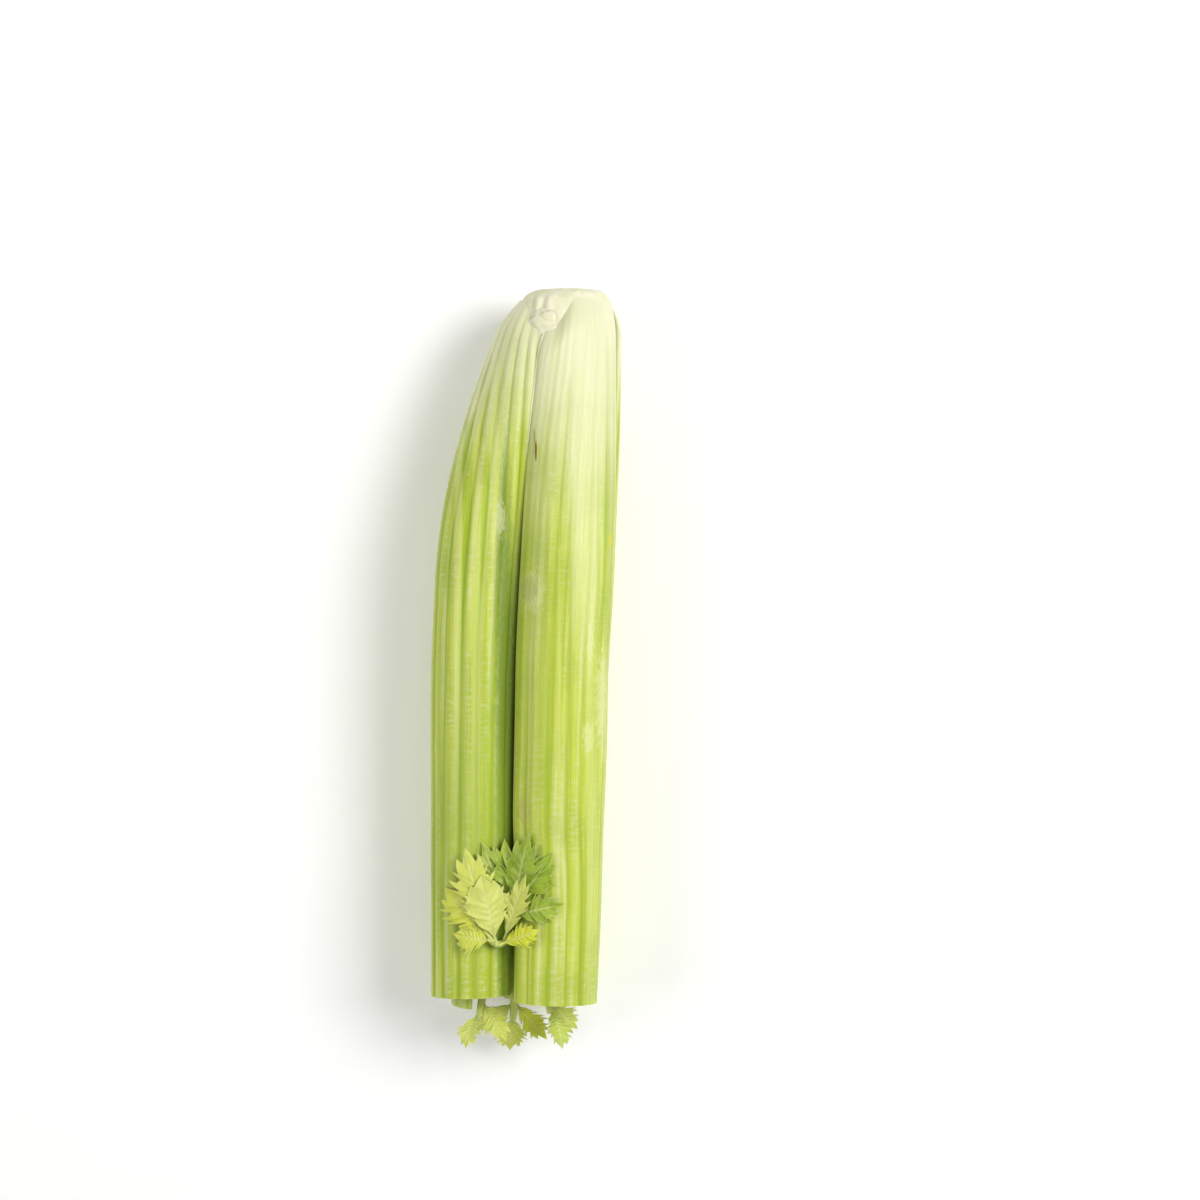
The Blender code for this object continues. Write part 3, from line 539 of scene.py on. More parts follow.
# foot and span are the margins' angles in degrees, at the crown and further up, centre and
# sway are in x and z, and grid is columns and rows
stalks = {
    "outer_stalk_right": {
        "layer": "outer", "foot": (-7, 108.5), "centre": (0.0118, 0.0076), "radius": 0.0170,
        "span": (-32, 146), "wall": 0.0068, "step": 0.0005, "top": 0.229, "tilt": -0.0010,
        "sway": (0.0002, 0.0003), "ribs": 8, "gape": 9, "grid": (168, 200),
        "ribDepth": 0.00032, "ribPower": 3.0, "fine": 0.00009, "wrinkles": 0.22,
        "furrows": 0.55, "creamTo": 0.085},
    "outer_stalk_left": {
        "layer": "outer", "foot": (109.5, 193), "centre": (-0.0132, 0.0059), "radius": 0.0153,
        "span": (17, 208), "wall": 0.0064, "step": 0.0003, "top": 0.227, "tilt": 0.0008,
        "sway": (-0.0004, 0.0002), "ribs": 8, "grid": (168, 200),
        "ribDepth": 0.00072, "ribPower": 2.2, "fine": 0.00009, "wrinkles": 0.32,
        "furrows": 0.95, "creamTo": 0.055},
    "under_stalk_left": {
        **underKind, "foot": (200, 280), "centre": (-0.0126, -0.0080), "radius": 0.0164,
        "span": (158, 304), "top": 0.230, "tilt": 0.0012, "sway": (-0.0003, 0.0)},
    "under_stalk_right": {
        **underKind, "foot": (283, 352), "centre": (0.0126, -0.0080), "radius": 0.0164,
        "span": (236, 385), "top": 0.228, "tilt": -0.0007, "sway": (0.0003, 0.0)},
    "middle_stalk_right": {
        **wideKind, "foot": (-42, 38), "centre": (0.0096, 0.0), "radius": 0.0124,
        "span": (-70, 66), "top": 0.230, "tilt": 0.0008, "sway": (0.0005, -0.0004)},
    "middle_stalk_top": {
        **narrowKind, "foot": (50, 126), "centre": (0.0028, -0.0004), "radius": 0.0086, "wall": 0.0044,
        "span": (8, 150), "top": 0.229, "tilt": -0.0006, "sway": (0.0, 0.0006), "creamTo": 0.12},
    "middle_stalk_left": {
        **wideKind, "foot": (138, 216), "centre": (-0.0098, -0.0016), "radius": 0.0120,
        "span": (116, 248), "top": 0.231, "tilt": -0.0009, "sway": (-0.0004, 0.0005)},
    "middle_stalk_bottom": {
        **narrowKind, "foot": (228, 306), "centre": (0.0, -0.0068), "radius": 0.0098, "wall": 0.0046,
        "span": (204, 336), "top": 0.229, "tilt": 0.0006, "sway": (0.0003, -0.0005)},
    "inner_stalk_left": {
        **innerKind, "foot": (128, 222), "centre": (-0.0052, -0.0014), "radius": 0.0076,
        "span": (102, 252), "wall": 0.0042, "sway": (0.0004, 0.0003)},
    "inner_stalk_right": {
        **innerKind, "foot": (-105, 5), "centre": (0.0066, -0.0044), "radius": 0.0060,
        "span": (-88, 44), "wall": 0.0036, "sway": (0.0, 0.0003)},
}
layerLooks = {
    "outer": {"slot": "outer_stalk", "look": skinLook},
    "middle": {"slot": "middle_stalk",
               "look": {**skinLook, "crest": "D9E284", "furrow": "B6C850", "deep": "A0B640"}},
    "inner": {"slot": "inner_stalk",
              "look": {**skinLook, "crest": "E2E892", "furrow": "C6D262", "deep": "B2C250"}},
}
ribForm = {
    # zone is the share of the width that has ribs, and the others vary their places and depths
    "zone": 0.93, "wander": 0.10, "unevenness": 0.35, "swell": 0.00012, "lift": 0.00005,
    "softness": 0.5, "softZone": (0.010, 0.070),    # share of the depth at the root, and up to where
    "dents": 0.02, "gather": 0.28,    # hollow side's unevenness, and how far rows gather at the root
}
cutForm = {"steps": (0, 0.03, 0.12, 0.28, 0.5, 0.72, 0.88, 0.97, 1.0), "dish": 0.00035, "uneven": 0.6}


def ribRelief(stalk, u, s, seed):
    # Depth under the skin, and rib height from 0 to 1, at u and s. Rib height is
    # 1 - |2 f - 1|^power with f the place within a rib. Rib widths and depths vary slowly, and
    # fine strands are sines of random pitch across.
    phase = (u / ribForm["zone"] + 1) / 2 * stalk["ribs"]
    phase = phase + ribForm["wander"] * waves(u * 3.1 + s * 5, seed, 3, 0.8, 2.4)
    within = phase - np.floor(phase)
    height = 1 - np.abs(2 * within - 1) ** stalk["ribPower"]
    depth = stalk["ribDepth"] * (1 + ribForm["unevenness"] * waves(u * 6 + s * 9, seed + 1, 3, 0.6, 2.0))
    depth = depth * mixed(ribForm["softness"], 1, smoothStep(*ribForm["softZone"], s))
    margin = smoothStep(1.0, ribForm["zone"], np.abs(u))
    strands = stalk["fine"] * waves(u * 34 + s * 4, seed + 2, 6, 0.7, 1.9)
    swell = ribForm["swell"] * waves(s * 60 + u * 2, seed + 3, 4, 0.6, 2.2)
    return (depth * (1 - height) + strands + swell + ribForm["lift"]) * margin, height


def makeStalk(name, stalk, seed):
    # Grid of (share of the length, place round the section), with a cut face at each end.
    # Points are closer together at the margins and near the root.
    columns, rows = stalk["grid"]
    t = np.linspace(-1, 1, columns + 1)
    u = (0.5 * t + 0.5 * np.sin(t * math.pi / 2))[None, :]
    share = np.linspace(0, 1, rows + 1)[:, None]
    share = (1 - ribForm["gather"]) * share + ribForm["gather"] * share ** 2
    foot = footLine(stalk, u)
    top = stalk["top"] + stalk["tilt"] * u
    s = foot + (top - foot) * share
    relief, height = ribRelief(stalk, u, s, seed)
    outer = stalkPoint(stalk, u, s, relief, False)
    dents = ribForm["dents"] * waves(u * 9 + s * 30, seed + 5, 3, 0.7, 1.8)
    hollow = stalkPoint(stalk, u, s, dents, True)

    def turnRound(front, back):
        # outer row, then the hollow side's back again without the two margins that they share
        return np.concatenate((front, back[:, -2:0:-1]), 1)

    across = np.broadcast_to(u, s.shape)
    lining = turnRound(np.zeros_like(s), np.ones_like(s))
    parts = [gridPart(turnRound(outer, hollow), True, along=turnRound(s, s),
                      across=turnRound(across, across), rib=turnRound(height, height),
                      inside=lining, cut=0.0, depth=lining)]
    w = np.array(cutForm["steps"])[:, None]
    for row, way in ((0, 1), (-1, -1)):
        face = outer[row][None] * (1 - w[..., None]) + hollow[row][None] * w[..., None]
        dish = cutForm["dish"] * np.sin(w * math.pi) * np.sqrt(np.clip(1 - u ** 2, 0, 1))
        uneven = 1 + cutForm["uneven"] * waves(u * 30 + w * 7, seed + 7, 4, 0.5, 2.0)
        face[..., 1] -= way * dish * uneven
        parts.append(gridPart(face, False, along=s[row], across=u, rib=height[row],
                              inside=w > 0.99, cut=(w > 0.01) & (w < 0.99), depth=w))
    layer = layerLooks[stalk["layer"]]
    own = {key: stalk[key] for key in ("furrows", "creamTo") if key in stalk}
    # each stalk's strips and scars, with painted shade, painted highlight and a painted sheen among them
    own["strips"], own["scars"] = stalkStripsAndPaintedLight.get(name, ()), stalkScarsAndSheen.get(name, ())
    material = stalkMaterial(name + "_skin", layer["look"], stalk["wrinkles"], **own)
    makePiece(name + "_fine", joinParts(parts), material, (name,))


for index, (stalkName, stalk) in enumerate(stalks.items()):
    makeStalk(stalkName, stalk, 100 + 11 * index)    # each has its own seed
print("stalks made")

core = {
    "foot": 0.0266, "top": 0.212, "centre": (0.0004, -0.0026), "radii": (0.0019, 0.0030),
    "grid": (40, 110), "ribs": 6, "ripple": 0.03, "twist": 3, "wrinkles": 0.2,
    "capSteps": (0, 0.06, 0.3, 0.6, 1.0),
    "greenness": 0.12,    # coloured all over as a stalk is at this distance from its base
}


def makeCore():
    # Round shoot: circle of growing radius along the axis, with a few soft ribs.
    columns, rows = core["grid"]
    angle = (np.arange(columns) * 2 * math.pi / columns)[None, :]
    share = np.linspace(0, 1, rows + 1)[:, None]
    s = mixed(core["foot"], core["top"], share)
    ripple = np.cos(angle * core["ribs"] + core["twist"] * share)
    radius = mixed(*core["radii"], share) * (1 - core["ripple"] * (1 - ripple))
    x = axisX(s) + core["centre"][0] * spread(s) + radius * np.cos(angle)
    wall = toRow(x, s, core["centre"][1] * spread(s) + radius * np.sin(angle))
    grids = [(wall, 0.0, 0.0)]
    w = np.array(core["capSteps"])[:, None]
    for row in (wall[0], wall[-1]):
        cap = row[None] * (1 - w[..., None]) + row.mean(0) * w[..., None]
        grids.append((cap, w > 0, 0.5 * w))
    rib = 0.5 + 0.5 * np.cos(angle * core["ribs"])
    parts = [gridPart(grid, True, along=core["greenness"], across=angle / math.pi - 1, rib=rib,
                      inside=0.0, cut=cut, depth=depth) for grid, cut, depth in grids]
    material = stalkMaterial("core_skin", layerLooks["inner"]["look"], core["wrinkles"])
    makePiece("core_shoot", joinParts(parts), material, ("core_stalk",))


makeCore()
print("core made")

# Root crown
crown = {
    # distance from the cut base, radius
    "profile": ((0.0, 0.0116), (0.0012, 0.0134), (0.0030, 0.0143), (0.0060, 0.0147),
                (0.0080, 0.0140), (0.0088, 0.0094), (0.0144, 0.0078), (0.0150, 0.0062),
                (0.0220, 0.0052), (0.0262, 0.0022)),
    "columns": 168, "rows": 110, "faceRows": 40,
    "crumple": 0.00012, "ridge": 0.00025, "ridges": 5, "ridgeZone": (0.010, 0.002),
    # sawn face: groove's depth, place and width by share of the radius, pith and saw marks
    "groove": 0.00030, "grooveAt": (0.62, 0.05), "pith": 0.0005, "pithEdge": 0.3, "sawMarks": 0.00010,
    # flesh between the upper feet: degrees from the scar, radius, end along s, creases
    "swellZone": (24, 42), "swellRadius": 0.0160, "swellEnd": (0.0140, 0.0175), "crease": 0.00035,
    # knob of an old lower stalk: radius and s of its middle, half width, length and height
    "knobPlace": (0.0156, 0.0114), "knobSize": (0.00459, 0.0047, 0.0017), "knobGrid": (96, 56),
    # its folds across and up, and how far it has the sawn face's look and rings
    "knobFolds": (0.045, 0.13), "knobSawn": 0.55, "knobRing": (0.50, 0.16),
    # pale lip of flesh in the seam below the knob: x, s and z of its middle, radii at its ends
    "lipPath": ((0.00765, 0.0150, 0.01590), (0.00702, 0.0170, 0.01645), (0.00627, 0.0200, 0.01715),
                (0.00558, 0.0240, 0.01755), (0.00505, 0.0280, 0.01780), (0.00454, 0.0320, 0.01805),
                (0.00404, 0.0360, 0.01830), (0.00358, 0.0400, 0.01840), (0.00304, 0.0450, 0.01835),
                (0.00256, 0.0500, 0.01815), (0.00212, 0.0550, 0.01775)),
    "lipRadii": (0.00070, 0.00009), "lipGrid": (14, 80),
}
crownLook = {
    "cream": "F0EDCE", "tan": "DACB96", "brown": "B89A62", "green": "DCE3AC",
    "roughness": 0.62, "specular": 0.5, "bump": (0.7, 0.0004),
    "subsurface": 0.25, "subsurfaceRadius": (1.0, 0.9, 0.5), "subsurfaceScale": 0.002,
    "speckScale": (700.0, 700.0, 700.0), "cloudScale": (160.0, 160.0, 160.0),
    # where a colour comes in, where it has its greatest share, and that share
    "greenClouds": (0.42, 0.68, 0.55), "tanSpecks": (0.56, 0.74, 0.5), "sawnSpecks": (0.50, 0.70, 0.55),
    # rings on the sawn face, by share of its radius
    "ringWobble": 0.60, "tanRing": 0.62, "tanFade": (0.11, 0.02, 0.5),
    "brownEdge": (0.82, 1.05, 0.55), "greenPith": (0.22, 0.08, 0.5),
}


def crownMaterial():
    # Cut cream tissue: rings on the sawn face, tan where it has dried.
    material, tree, shader = newMaterial("root_tissue")
    cream, tan, brown, green = (colour(crownLook[key]) for key in ("cream", "tan", "brown", "green"))
    here = places(tree)
    ring = mark(tree, "ring")
    speck = grain(tree, here, crownLook["speckScale"], 4.0, 0.65)
    cloud = grain(tree, here, crownLook["cloudScale"], 3.0)
    skin = stain(tree, cream, green, cloud, *crownLook["greenClouds"])
    skin = stain(tree, skin, tan, speck, *crownLook["tanSpecks"])
    wobble = calc(tree, "ADD", ring, bothWays(tree, cloud, crownLook["ringWobble"]))
    band = calc(tree, "ABSOLUTE", calc(tree, "SUBTRACT", wobble, crownLook["tanRing"]))
    sawn = stain(tree, cream, tan, band, *crownLook["tanFade"])
    sawn = stain(tree, sawn, brown, wobble, *crownLook["brownEdge"])
    sawn = stain(tree, sawn, tan, speck, *crownLook["sawnSpecks"])
    sawn = stain(tree, sawn, green, wobble, *crownLook["greenPith"])
    dress(tree, shader, crownLook, paint(tree, mark(tree, "sawn"), skin, sawn), speck)
    return material


def crownParts():
    # Stepped profile turned round the swung axis, with shallow leaf-scar ridges and the flesh
    # that swells at the scar, then the sawn face and the closed tip.
    profile = np.array(crown["profile"])
    steps = np.concatenate(([0], np.cumsum(np.hypot(*np.diff(profile, axis=0).T))))
    place = np.linspace(0, steps[-1], crown["rows"] + 1)
    s = np.interp(place, steps, profile[:, 0])[:, None]
    radius = np.interp(place, steps, profile[:, 1])[:, None]
    angle = (np.arange(crown["columns"]) * 2 * math.pi / crown["columns"])[None, :]
    crumple = waves(angle * 9 + s * 900, 31, 6, 0.5, 2.0) * crown["crumple"]
    degrees = np.degrees(angle)
    besideScar = np.abs((degrees - heart["scarAngle"] + 180) % 360 - 180)
    window = 1 - smoothStep(*crown["swellZone"], besideScar)
    window = window * smoothStep(0.0, 0.004, s) * (1 - smoothStep(*crown["swellEnd"], s))
    creased = crown["swellRadius"] + crown["crease"] * waves(degrees * 0.30 + s * 120, 33, 4, 0.6, 1.8)
    radius = radius + np.clip(creased - radius, 0, None) * window
    ridge = crown["ridge"] * np.abs(np.sin(angle * crown["ridges"] + 0.4))
    ridge = ridge * smoothStep(*crown["ridgeZone"], s)
    radius = radius - ridge - np.abs(crumple)
    wall = toRow(axisX(s) + radius * np.cos(angle), s, radius * np.sin(angle))

    inward = np.linspace(1, 0, crown["faceRows"] + 1)[:, None]
    faceRadius = radius[0][None] * inward
    grooveMiddle, grooveWidth = crown["grooveAt"]
    groove = crown["groove"] * np.exp(-((inward - grooveMiddle) / grooveWidth) ** 2)
    groove = groove + crown["pith"] * smoothStep(crown["pithEdge"], 0.0, inward)
    sawWaves = np.abs(waves(angle * 7 * inward + inward * 30, 41, 5, 0.5, 2.0))
    rough = crown["sawMarks"] * sawWaves * np.sin(inward * math.pi)
    faceS = (groove + rough) * smoothStep(1.0, 0.97, inward)
    face = toRow(axisX(0.0) + faceRadius * np.cos(angle), faceS, faceRadius * np.sin(angle))
    last = wall[-1][None] * np.ones((2, 1, 1))
    last[1] = last[1].mean(0)
    return [gridPart(wall, True, sawn=0.0, ring=1.0), gridPart(face, True, sawn=1.0, ring=inward),
            gridPart(last, True, sawn=0.0, ring=1.0)]


def knobPart():
    # Flattened ball laid round the crown's wall, with creased edges and a torn top.
    columns, rows = crown["knobGrid"]
    way, alongSize, out = crown["knobSize"]
    far, start = crown["knobPlace"]
    foldAcross, foldUp = crown["knobFolds"]
    lon = (np.arange(columns) * 2 * math.pi / columns)[None, :]
    lat = np.linspace(-math.pi / 2, math.pi / 2, rows + 1)[:, None]
    aside, ahead = np.cos(lat) * np.cos(lon), np.cos(lat) * np.sin(lon)
    folds = waves(aside * 7 + ahead * 2, 53, 4, 0.5, 1.6) + waves(ahead * 9 - aside * 3, 54, 4, 0.5, 1.6)
    swell = 1 + foldAcross * folds
    reach = far + out * (np.sin(lat) + foldUp * folds * np.cos(lat) * smoothStep(0.0, 0.5, lat))
    angle = math.radians(heart["scarAngle"]) + way * aside * swell / far
    along = start + alongSize * ahead * swell
    knob = toRow(axisX(start) + reach * np.cos(angle), along, reach * np.sin(angle))
    sawn = crown["knobSawn"] * smoothStep(-0.2, 0.6, lat)
    ringMiddle, ringFolds = crown["knobRing"]
    return gridPart(knob, True, sawn=sawn, ring=ringMiddle + ringFolds * folds)


def lipParts():
    # tube along the lip's path, thinner from one end to the other
    columns, steps = crown["lipGrid"]
    path = toRow(*smoothPath(crown["lipPath"], steps).T)
    grids = tube(path, np.linspace(*crown["lipRadii"], steps), columns)
    return [gridPart(grid, True, sawn=0.0, ring=1.0) for grid in grids]


crownWhole = joinParts([*crownParts(), knobPart(), *lipParts()])
makePiece("root_crown_fine", crownWhole, crownMaterial(), ("root_crown",))
print("crown made")

# Leaves
leafForm = {
    "columns": 96, "rows": 14, "rowPower": 0.85, "thick": 0.00042, "creaseAngle": 70,
    # outline: where it starts along the leaf, where it is widest, how its ends narrow
    "edgeStart": 0.10, "edgePower": 0.95, "widestPower": 1.3, "endPowers": (0.80, 0.45),
    "teeth": 8, "toothDepth": 0.36, "toothPower": 1.15, "toothMiddle": 0.88, "toothShift": 0.15,
    "toothedFrom": (0.10, 0.38),
    "sinusAt": (0.40, 0.70), "sinusDepth": (0.34, 0.28), "sinusWidth": 0.036,
    "ribStart": 0.06, "ribEnd": 0.74, "veinWidth": 0.00020, "midribWidth": 0.00030,
    "veinShift": 0.12, "sideVeins": 0.6,
    "ruffle": 0.00045, "blister": 0.00016, "veinDip": 0.00014,
    "bedSoftness": 0.003, "bedGap": 0.00055, "arch": 0.0005, "cup": (0.0012, 12),
    "stem": (56, 20, 0.22, 0.3),    # steps, columns, groove and tint
    # each leaflet's own stem: steps and columns, radii, start and end, and how deep it lies
    "leafStem": (14, 10), "leafStemRadii": (0.0006875, 0.0001925),
    "leafStemReach": (-0.0006, 0.30), "leafStemDip": 0.0003,
}
sprays = {
    "pale_leaf_spray": {
        "slot": "pale_leaf", "radii": (0.0012, 0.0011),
        "stem": ((0.0022, 0.1985, 0.0094), (0.0008, 0.2020, 0.0120), (-0.0018, 0.2058, 0.0150),
                 (-0.0044, 0.2084, 0.0182), (-0.0068, 0.2092, 0.0208), (-0.0090, 0.2076, 0.0220),
                 (-0.0106, 0.2048, 0.0216)),
        "leaves": (
            # base, tip, width, lift at base and tip, tint from 0 pale to 1 green, share of the teeth
            ((-0.0104, 0.2050), (-0.0172, 0.1785), 0.0150, (0.0027, 0.0034), 0.22),
            ((-0.0098, 0.2062), (-0.0240, 0.1915), 0.0150, (0.0030, 0.0009), 0.12),
            ((-0.0074, 0.2090), (-0.0122, 0.1870), 0.0155, (0.0036, 0.0042), 0.30, 0.50),
            ((-0.0087, 0.2079), (-0.0210, 0.2060), 0.0120, (0.0036, 0.0010), 0.15),
            ((-0.0052, 0.2086), (0.0022, 0.1865), 0.0085, (0.0019, 0.0050), 0.25),
            ((-0.0062, 0.2092), (0.0064, 0.2040), 0.0085, (0.0036, 0.0034), 0.00),
        )},
    "green_leaf_spray": {
        "slot": "green_leaf", "radii": (0.0012, 0.0010),
        "stem": ((0.0026, 0.1895, 0.0092), (0.0010, 0.1920, 0.0118), (-0.0016, 0.1945, 0.0146),
                 (-0.0032, 0.1966, 0.0172), (-0.0034, 0.1982, 0.0192), (-0.0032, 0.1992, 0.0204)),
        "leaves": (
            ((-0.0030, 0.1994), (-0.0048, 0.1760), 0.0120, (0.0014, 0.0012), 0.80),
            ((-0.0036, 0.1990), (-0.0118, 0.1768), 0.0115, (0.0008, 0.0004), 0.70),
            ((-0.0028, 0.1992), (0.0030, 0.1738), 0.0130, (0.0020, 0.0021), 0.95),
            ((-0.0030, 0.1996), (0.0106, 0.1800), 0.0130, (0.0014, 0.0006), 0.90),
            ((-0.0032, 0.1998), (0.0140, 0.1960), 0.0110, (0.0019, 0.0009), 0.80),
        )},
    "core_leaf_spray": {
        "slot": "young_leaf", "radii": (0.0022, 0.0012),
        "stem": ((-0.0016, 0.2125, -0.0024), (-0.0019, 0.2220, -0.0028), (-0.0024, 0.2310, -0.0040),
                 (-0.0030, 0.2370, -0.0064)),
        "leaves": (
            # base, tip, width, direction that the upper side faces, tint
            ((-0.0030, 0.2350, -0.0060), (-0.0042, 0.2480, -0.0120), 0.0110, (0.1, 0.45, 0.9), 0.20),
            ((-0.0024, 0.2310, -0.0042), (-0.0150, 0.2410, -0.0080), 0.0100, (-0.2, 0.3, 0.9), 0.30),
            ((-0.0024, 0.2310, -0.0042), (0.0080, 0.2440, -0.0100), 0.0095, (0.2, 0.3, 0.9), 0.10),
        )},
    "left_leaf_spray": {
        "slot": "young_leaf", "radii": (0.0019, 0.0011),
        "stem": ((-0.0112, 0.2066, -0.0014), (-0.0118, 0.2170, -0.0010), (-0.0126, 0.2280, 0.0010),
                 (-0.0136, 0.2345, 0.0040)),
        "leaves": (
            ((-0.0134, 0.2330, 0.0034), (-0.0176, 0.2440, 0.0100), 0.0105, (-0.6, 0.2, 0.8), 0.35),
            ((-0.0128, 0.2300, 0.0018), (-0.0044, 0.2420, 0.0075), 0.0095, (0.3, 0.3, 0.9), 0.25),
        )},
    "right_leaf_spray": {
        "slot": "green_leaf", "radii": (0.0018, 0.0011),
        "stem": ((0.0082, 0.2066, -0.0046), (0.0080, 0.2170, -0.0042), (0.0084, 0.2280, -0.0022),
                 (0.0094, 0.2340, 0.0006)),
        "leaves": (
            ((0.0092, 0.2325, 0.0000), (0.0134, 0.2445, 0.0064), 0.0105, (0.6, 0.2, 0.8), 0.60),
            ((0.0086, 0.2300, -0.0012), (0.0180, 0.2400, -0.0050), 0.0090, (0.5, 0.3, 0.8), 0.50),
        )},
}
leafLook = {
    "yellow": "D8DE3C", "pale": "D6DC78", "green": "9AB434", "deep": "728E28",
    "vein": "E8ECA4", "stem": "C6D46C",
    "roughness": 0.38, "specular": 0.3, "bump": (0.5, 0.0002), "cellBump": 0.5, "veinBump": 0.6,
    "subsurface": 0.35, "subsurfaceRadius": (0.8, 1.0, 0.25), "subsurfaceScale": 0.0012,
    "cellScale": (1500.0, 1500.0, 1500.0), "cloudScale": (260.0, 260.0, 260.0),
    # where a colour comes in, where it has its greatest share, and that share
    "paleTint": (0.0, 0.35), "greenTint": (0.35, 0.9), "yellowCells": (0.45, 0.75, 0.25),
    "paleEdge": (0.86, 1.0, 0.35), "stemEnd": (0.30, 0.0, 0.6), "paleVeins": (0.15, 0.9, 0.45),
    "deepClouds": (0.40, 0.70), "deepTint": (0.3, 1.0, 0.15, 0.6),
}


def bed(x, s):
    # Soft maximum of the two upper stalks' circles, so that leaves bridge the valley between.
    total = 0
    for name in ("outer_stalk_right", "outer_stalk_left"):
        size = taper(s)
        across = x - axisX(s) - stalks[name]["centre"][0] * size
        inside = np.clip((stalks[name]["radius"] * size) ** 2 - across ** 2, 0, None)
        height = stalks[name]["centre"][1] * size + np.sqrt(inside)
        total = total + np.exp(height / leafForm["bedSoftness"])
    return leafForm["bedSoftness"] * np.log(total)


def leafSurface(width, length, place, tint, toothing, seed):
    # Toothed leaflet: columns run from the midrib to the outline, as its side veins do.
    # t goes from the base (0) to the tip (1). The outline is a wedge-shaped envelope, scaled
    # along each column by saw teeth and by the notches between the lobes. q runs outward.
    form = leafForm
    c = np.linspace(-1, 1, 2 * form["columns"] + 1)[None, :]
    q = np.linspace(0, 1, form["rows"] + 1)[:, None] ** form["rowPower"]
    t = 1 - np.abs(c)
    ribAt = mixed(form["ribStart"], form["ribEnd"], t) * length
    edgeAlong = mixed(form["edgeStart"], 1.0, t ** form["edgePower"]) * length
    narrow = form["endPowers"][0] + form["endPowers"][1] * t ** 3
    edgeAcross = 0.5 * width * np.clip(np.sin(math.pi * t ** form["widestPower"]), 0, 1) ** narrow
    draw = np.random.default_rng(seed)
    shift = draw.uniform(-form["toothShift"], form["toothShift"])
    phase = t * form["teeth"] + shift * np.sign(c) * np.sin(math.pi * t)
    tooth = (phase - np.floor(phase)) ** form["toothPower"]
    tooth = np.where(t > 0.999, 1.0, tooth)
    tooth = tooth * np.sin(math.pi * np.clip(t, 0, 0.5)) ** 0.25 - form["toothMiddle"]
    reach = 1 + toothing * form["toothDepth"] * tooth * smoothStep(*form["toothedFrom"], t)
    for at, depth in zip(form["sinusAt"], form["sinusDepth"]):
        reach = reach - toothing * depth * np.exp(-((t - at) / form["sinusWidth"]) ** 2)
    along = ribAt + (edgeAlong - ribAt) * reach * q
    across = np.sign(c) * edgeAcross * reach * q
    fromVein = phase - np.round(phase - form["veinShift"]) - form["veinShift"]
    toVein = np.abs(fromVein) / form["teeth"] * length * (0.35 + q)
    sideVeins = np.exp(-(toVein / form["veinWidth"]) ** 2) * smoothStep(1.05, 0.35, q)
    midrib = np.exp(-(across / form["midribWidth"]) ** 2) * smoothStep(1.02, 0.70, along / length)
    vein = np.maximum(sideVeins * form["sideVeins"], midrib)
    ruffle = form["ruffle"] * np.sin(phase * 3.3 + draw.uniform(0, 6.28)) * q ** 2
    blister = form["blister"] * (1 - vein) * np.abs(np.sin(phase * math.pi)) * (1 - 0.4 * q)
    relief = ruffle + (blister - form["veinDip"] * vein)
    top = place(along, across, relief)
    bottom = place(along, across, relief - form["thick"])
    marks = {"vein": vein, "edge": np.broadcast_to(q, vein.shape),
             "tint": np.full(vein.shape, tint), "leafAlong": along / length}
    parts = [gridPart(top, False, **marks), gridPart(bottom, False, **marks)]
    # rim: the outline's row, then the two base columns
    for line in (np.s_[-1, :], np.s_[:, 0], np.s_[:, -1]):
        strip = np.stack((top[line], bottom[line]))
        parts.append(gridPart(strip, False, **{key: value[line] for key, value in marks.items()}))
    return parts


def drapedPlace(base, tip, lift):
    # Places on the bed of the two stalks, lifted between base and tip.
    base, tip = np.array(base), np.array(tip)
    way = tip - base
    length = float(np.hypot(*way))
    way = way / length
    side = (-way[1], way[0])

    def place(along, across, rise):
        # base + way * along + side * across, at the height of the bed, lift, arch and rise
        x = base[0] + way[0] * along + side[0] * across
        s = base[1] + way[1] * along + side[1] * across
        arch = leafForm["arch"] * np.sin(math.pi * np.clip(along / length, 0, 1))
        height = bed(x, s) + mixed(*lift, along / length) + arch + leafForm["bedGap"]
        return toRow(x, s, height + rise)

    return place, length


def freePlace(base, tip, upward):
    # Places on a blade that spans from base to tip and cups a little.
    base, tip = (toRow(*np.array(point)) for point in (base, tip))
    length = float(np.linalg.norm(tip - base))
    way = (tip - base) / length
    up = np.array((upward[0], -upward[1], upward[2]))
    up = up - way * up.dot(way)
    up /= np.linalg.norm(up)
    side = np.cross(way, up)
    arch, cupping = leafForm["cup"]

    def place(along, across, rise):
        # base + way * along + side * across + up * (arch's sine + cupping * across^2 + rise)
        cup = arch * np.sin(math.pi * along / length) + cupping * across ** 2 + rise
        return base + way * along[..., None] + side * across[..., None] + up * cup[..., None]

    return place, length


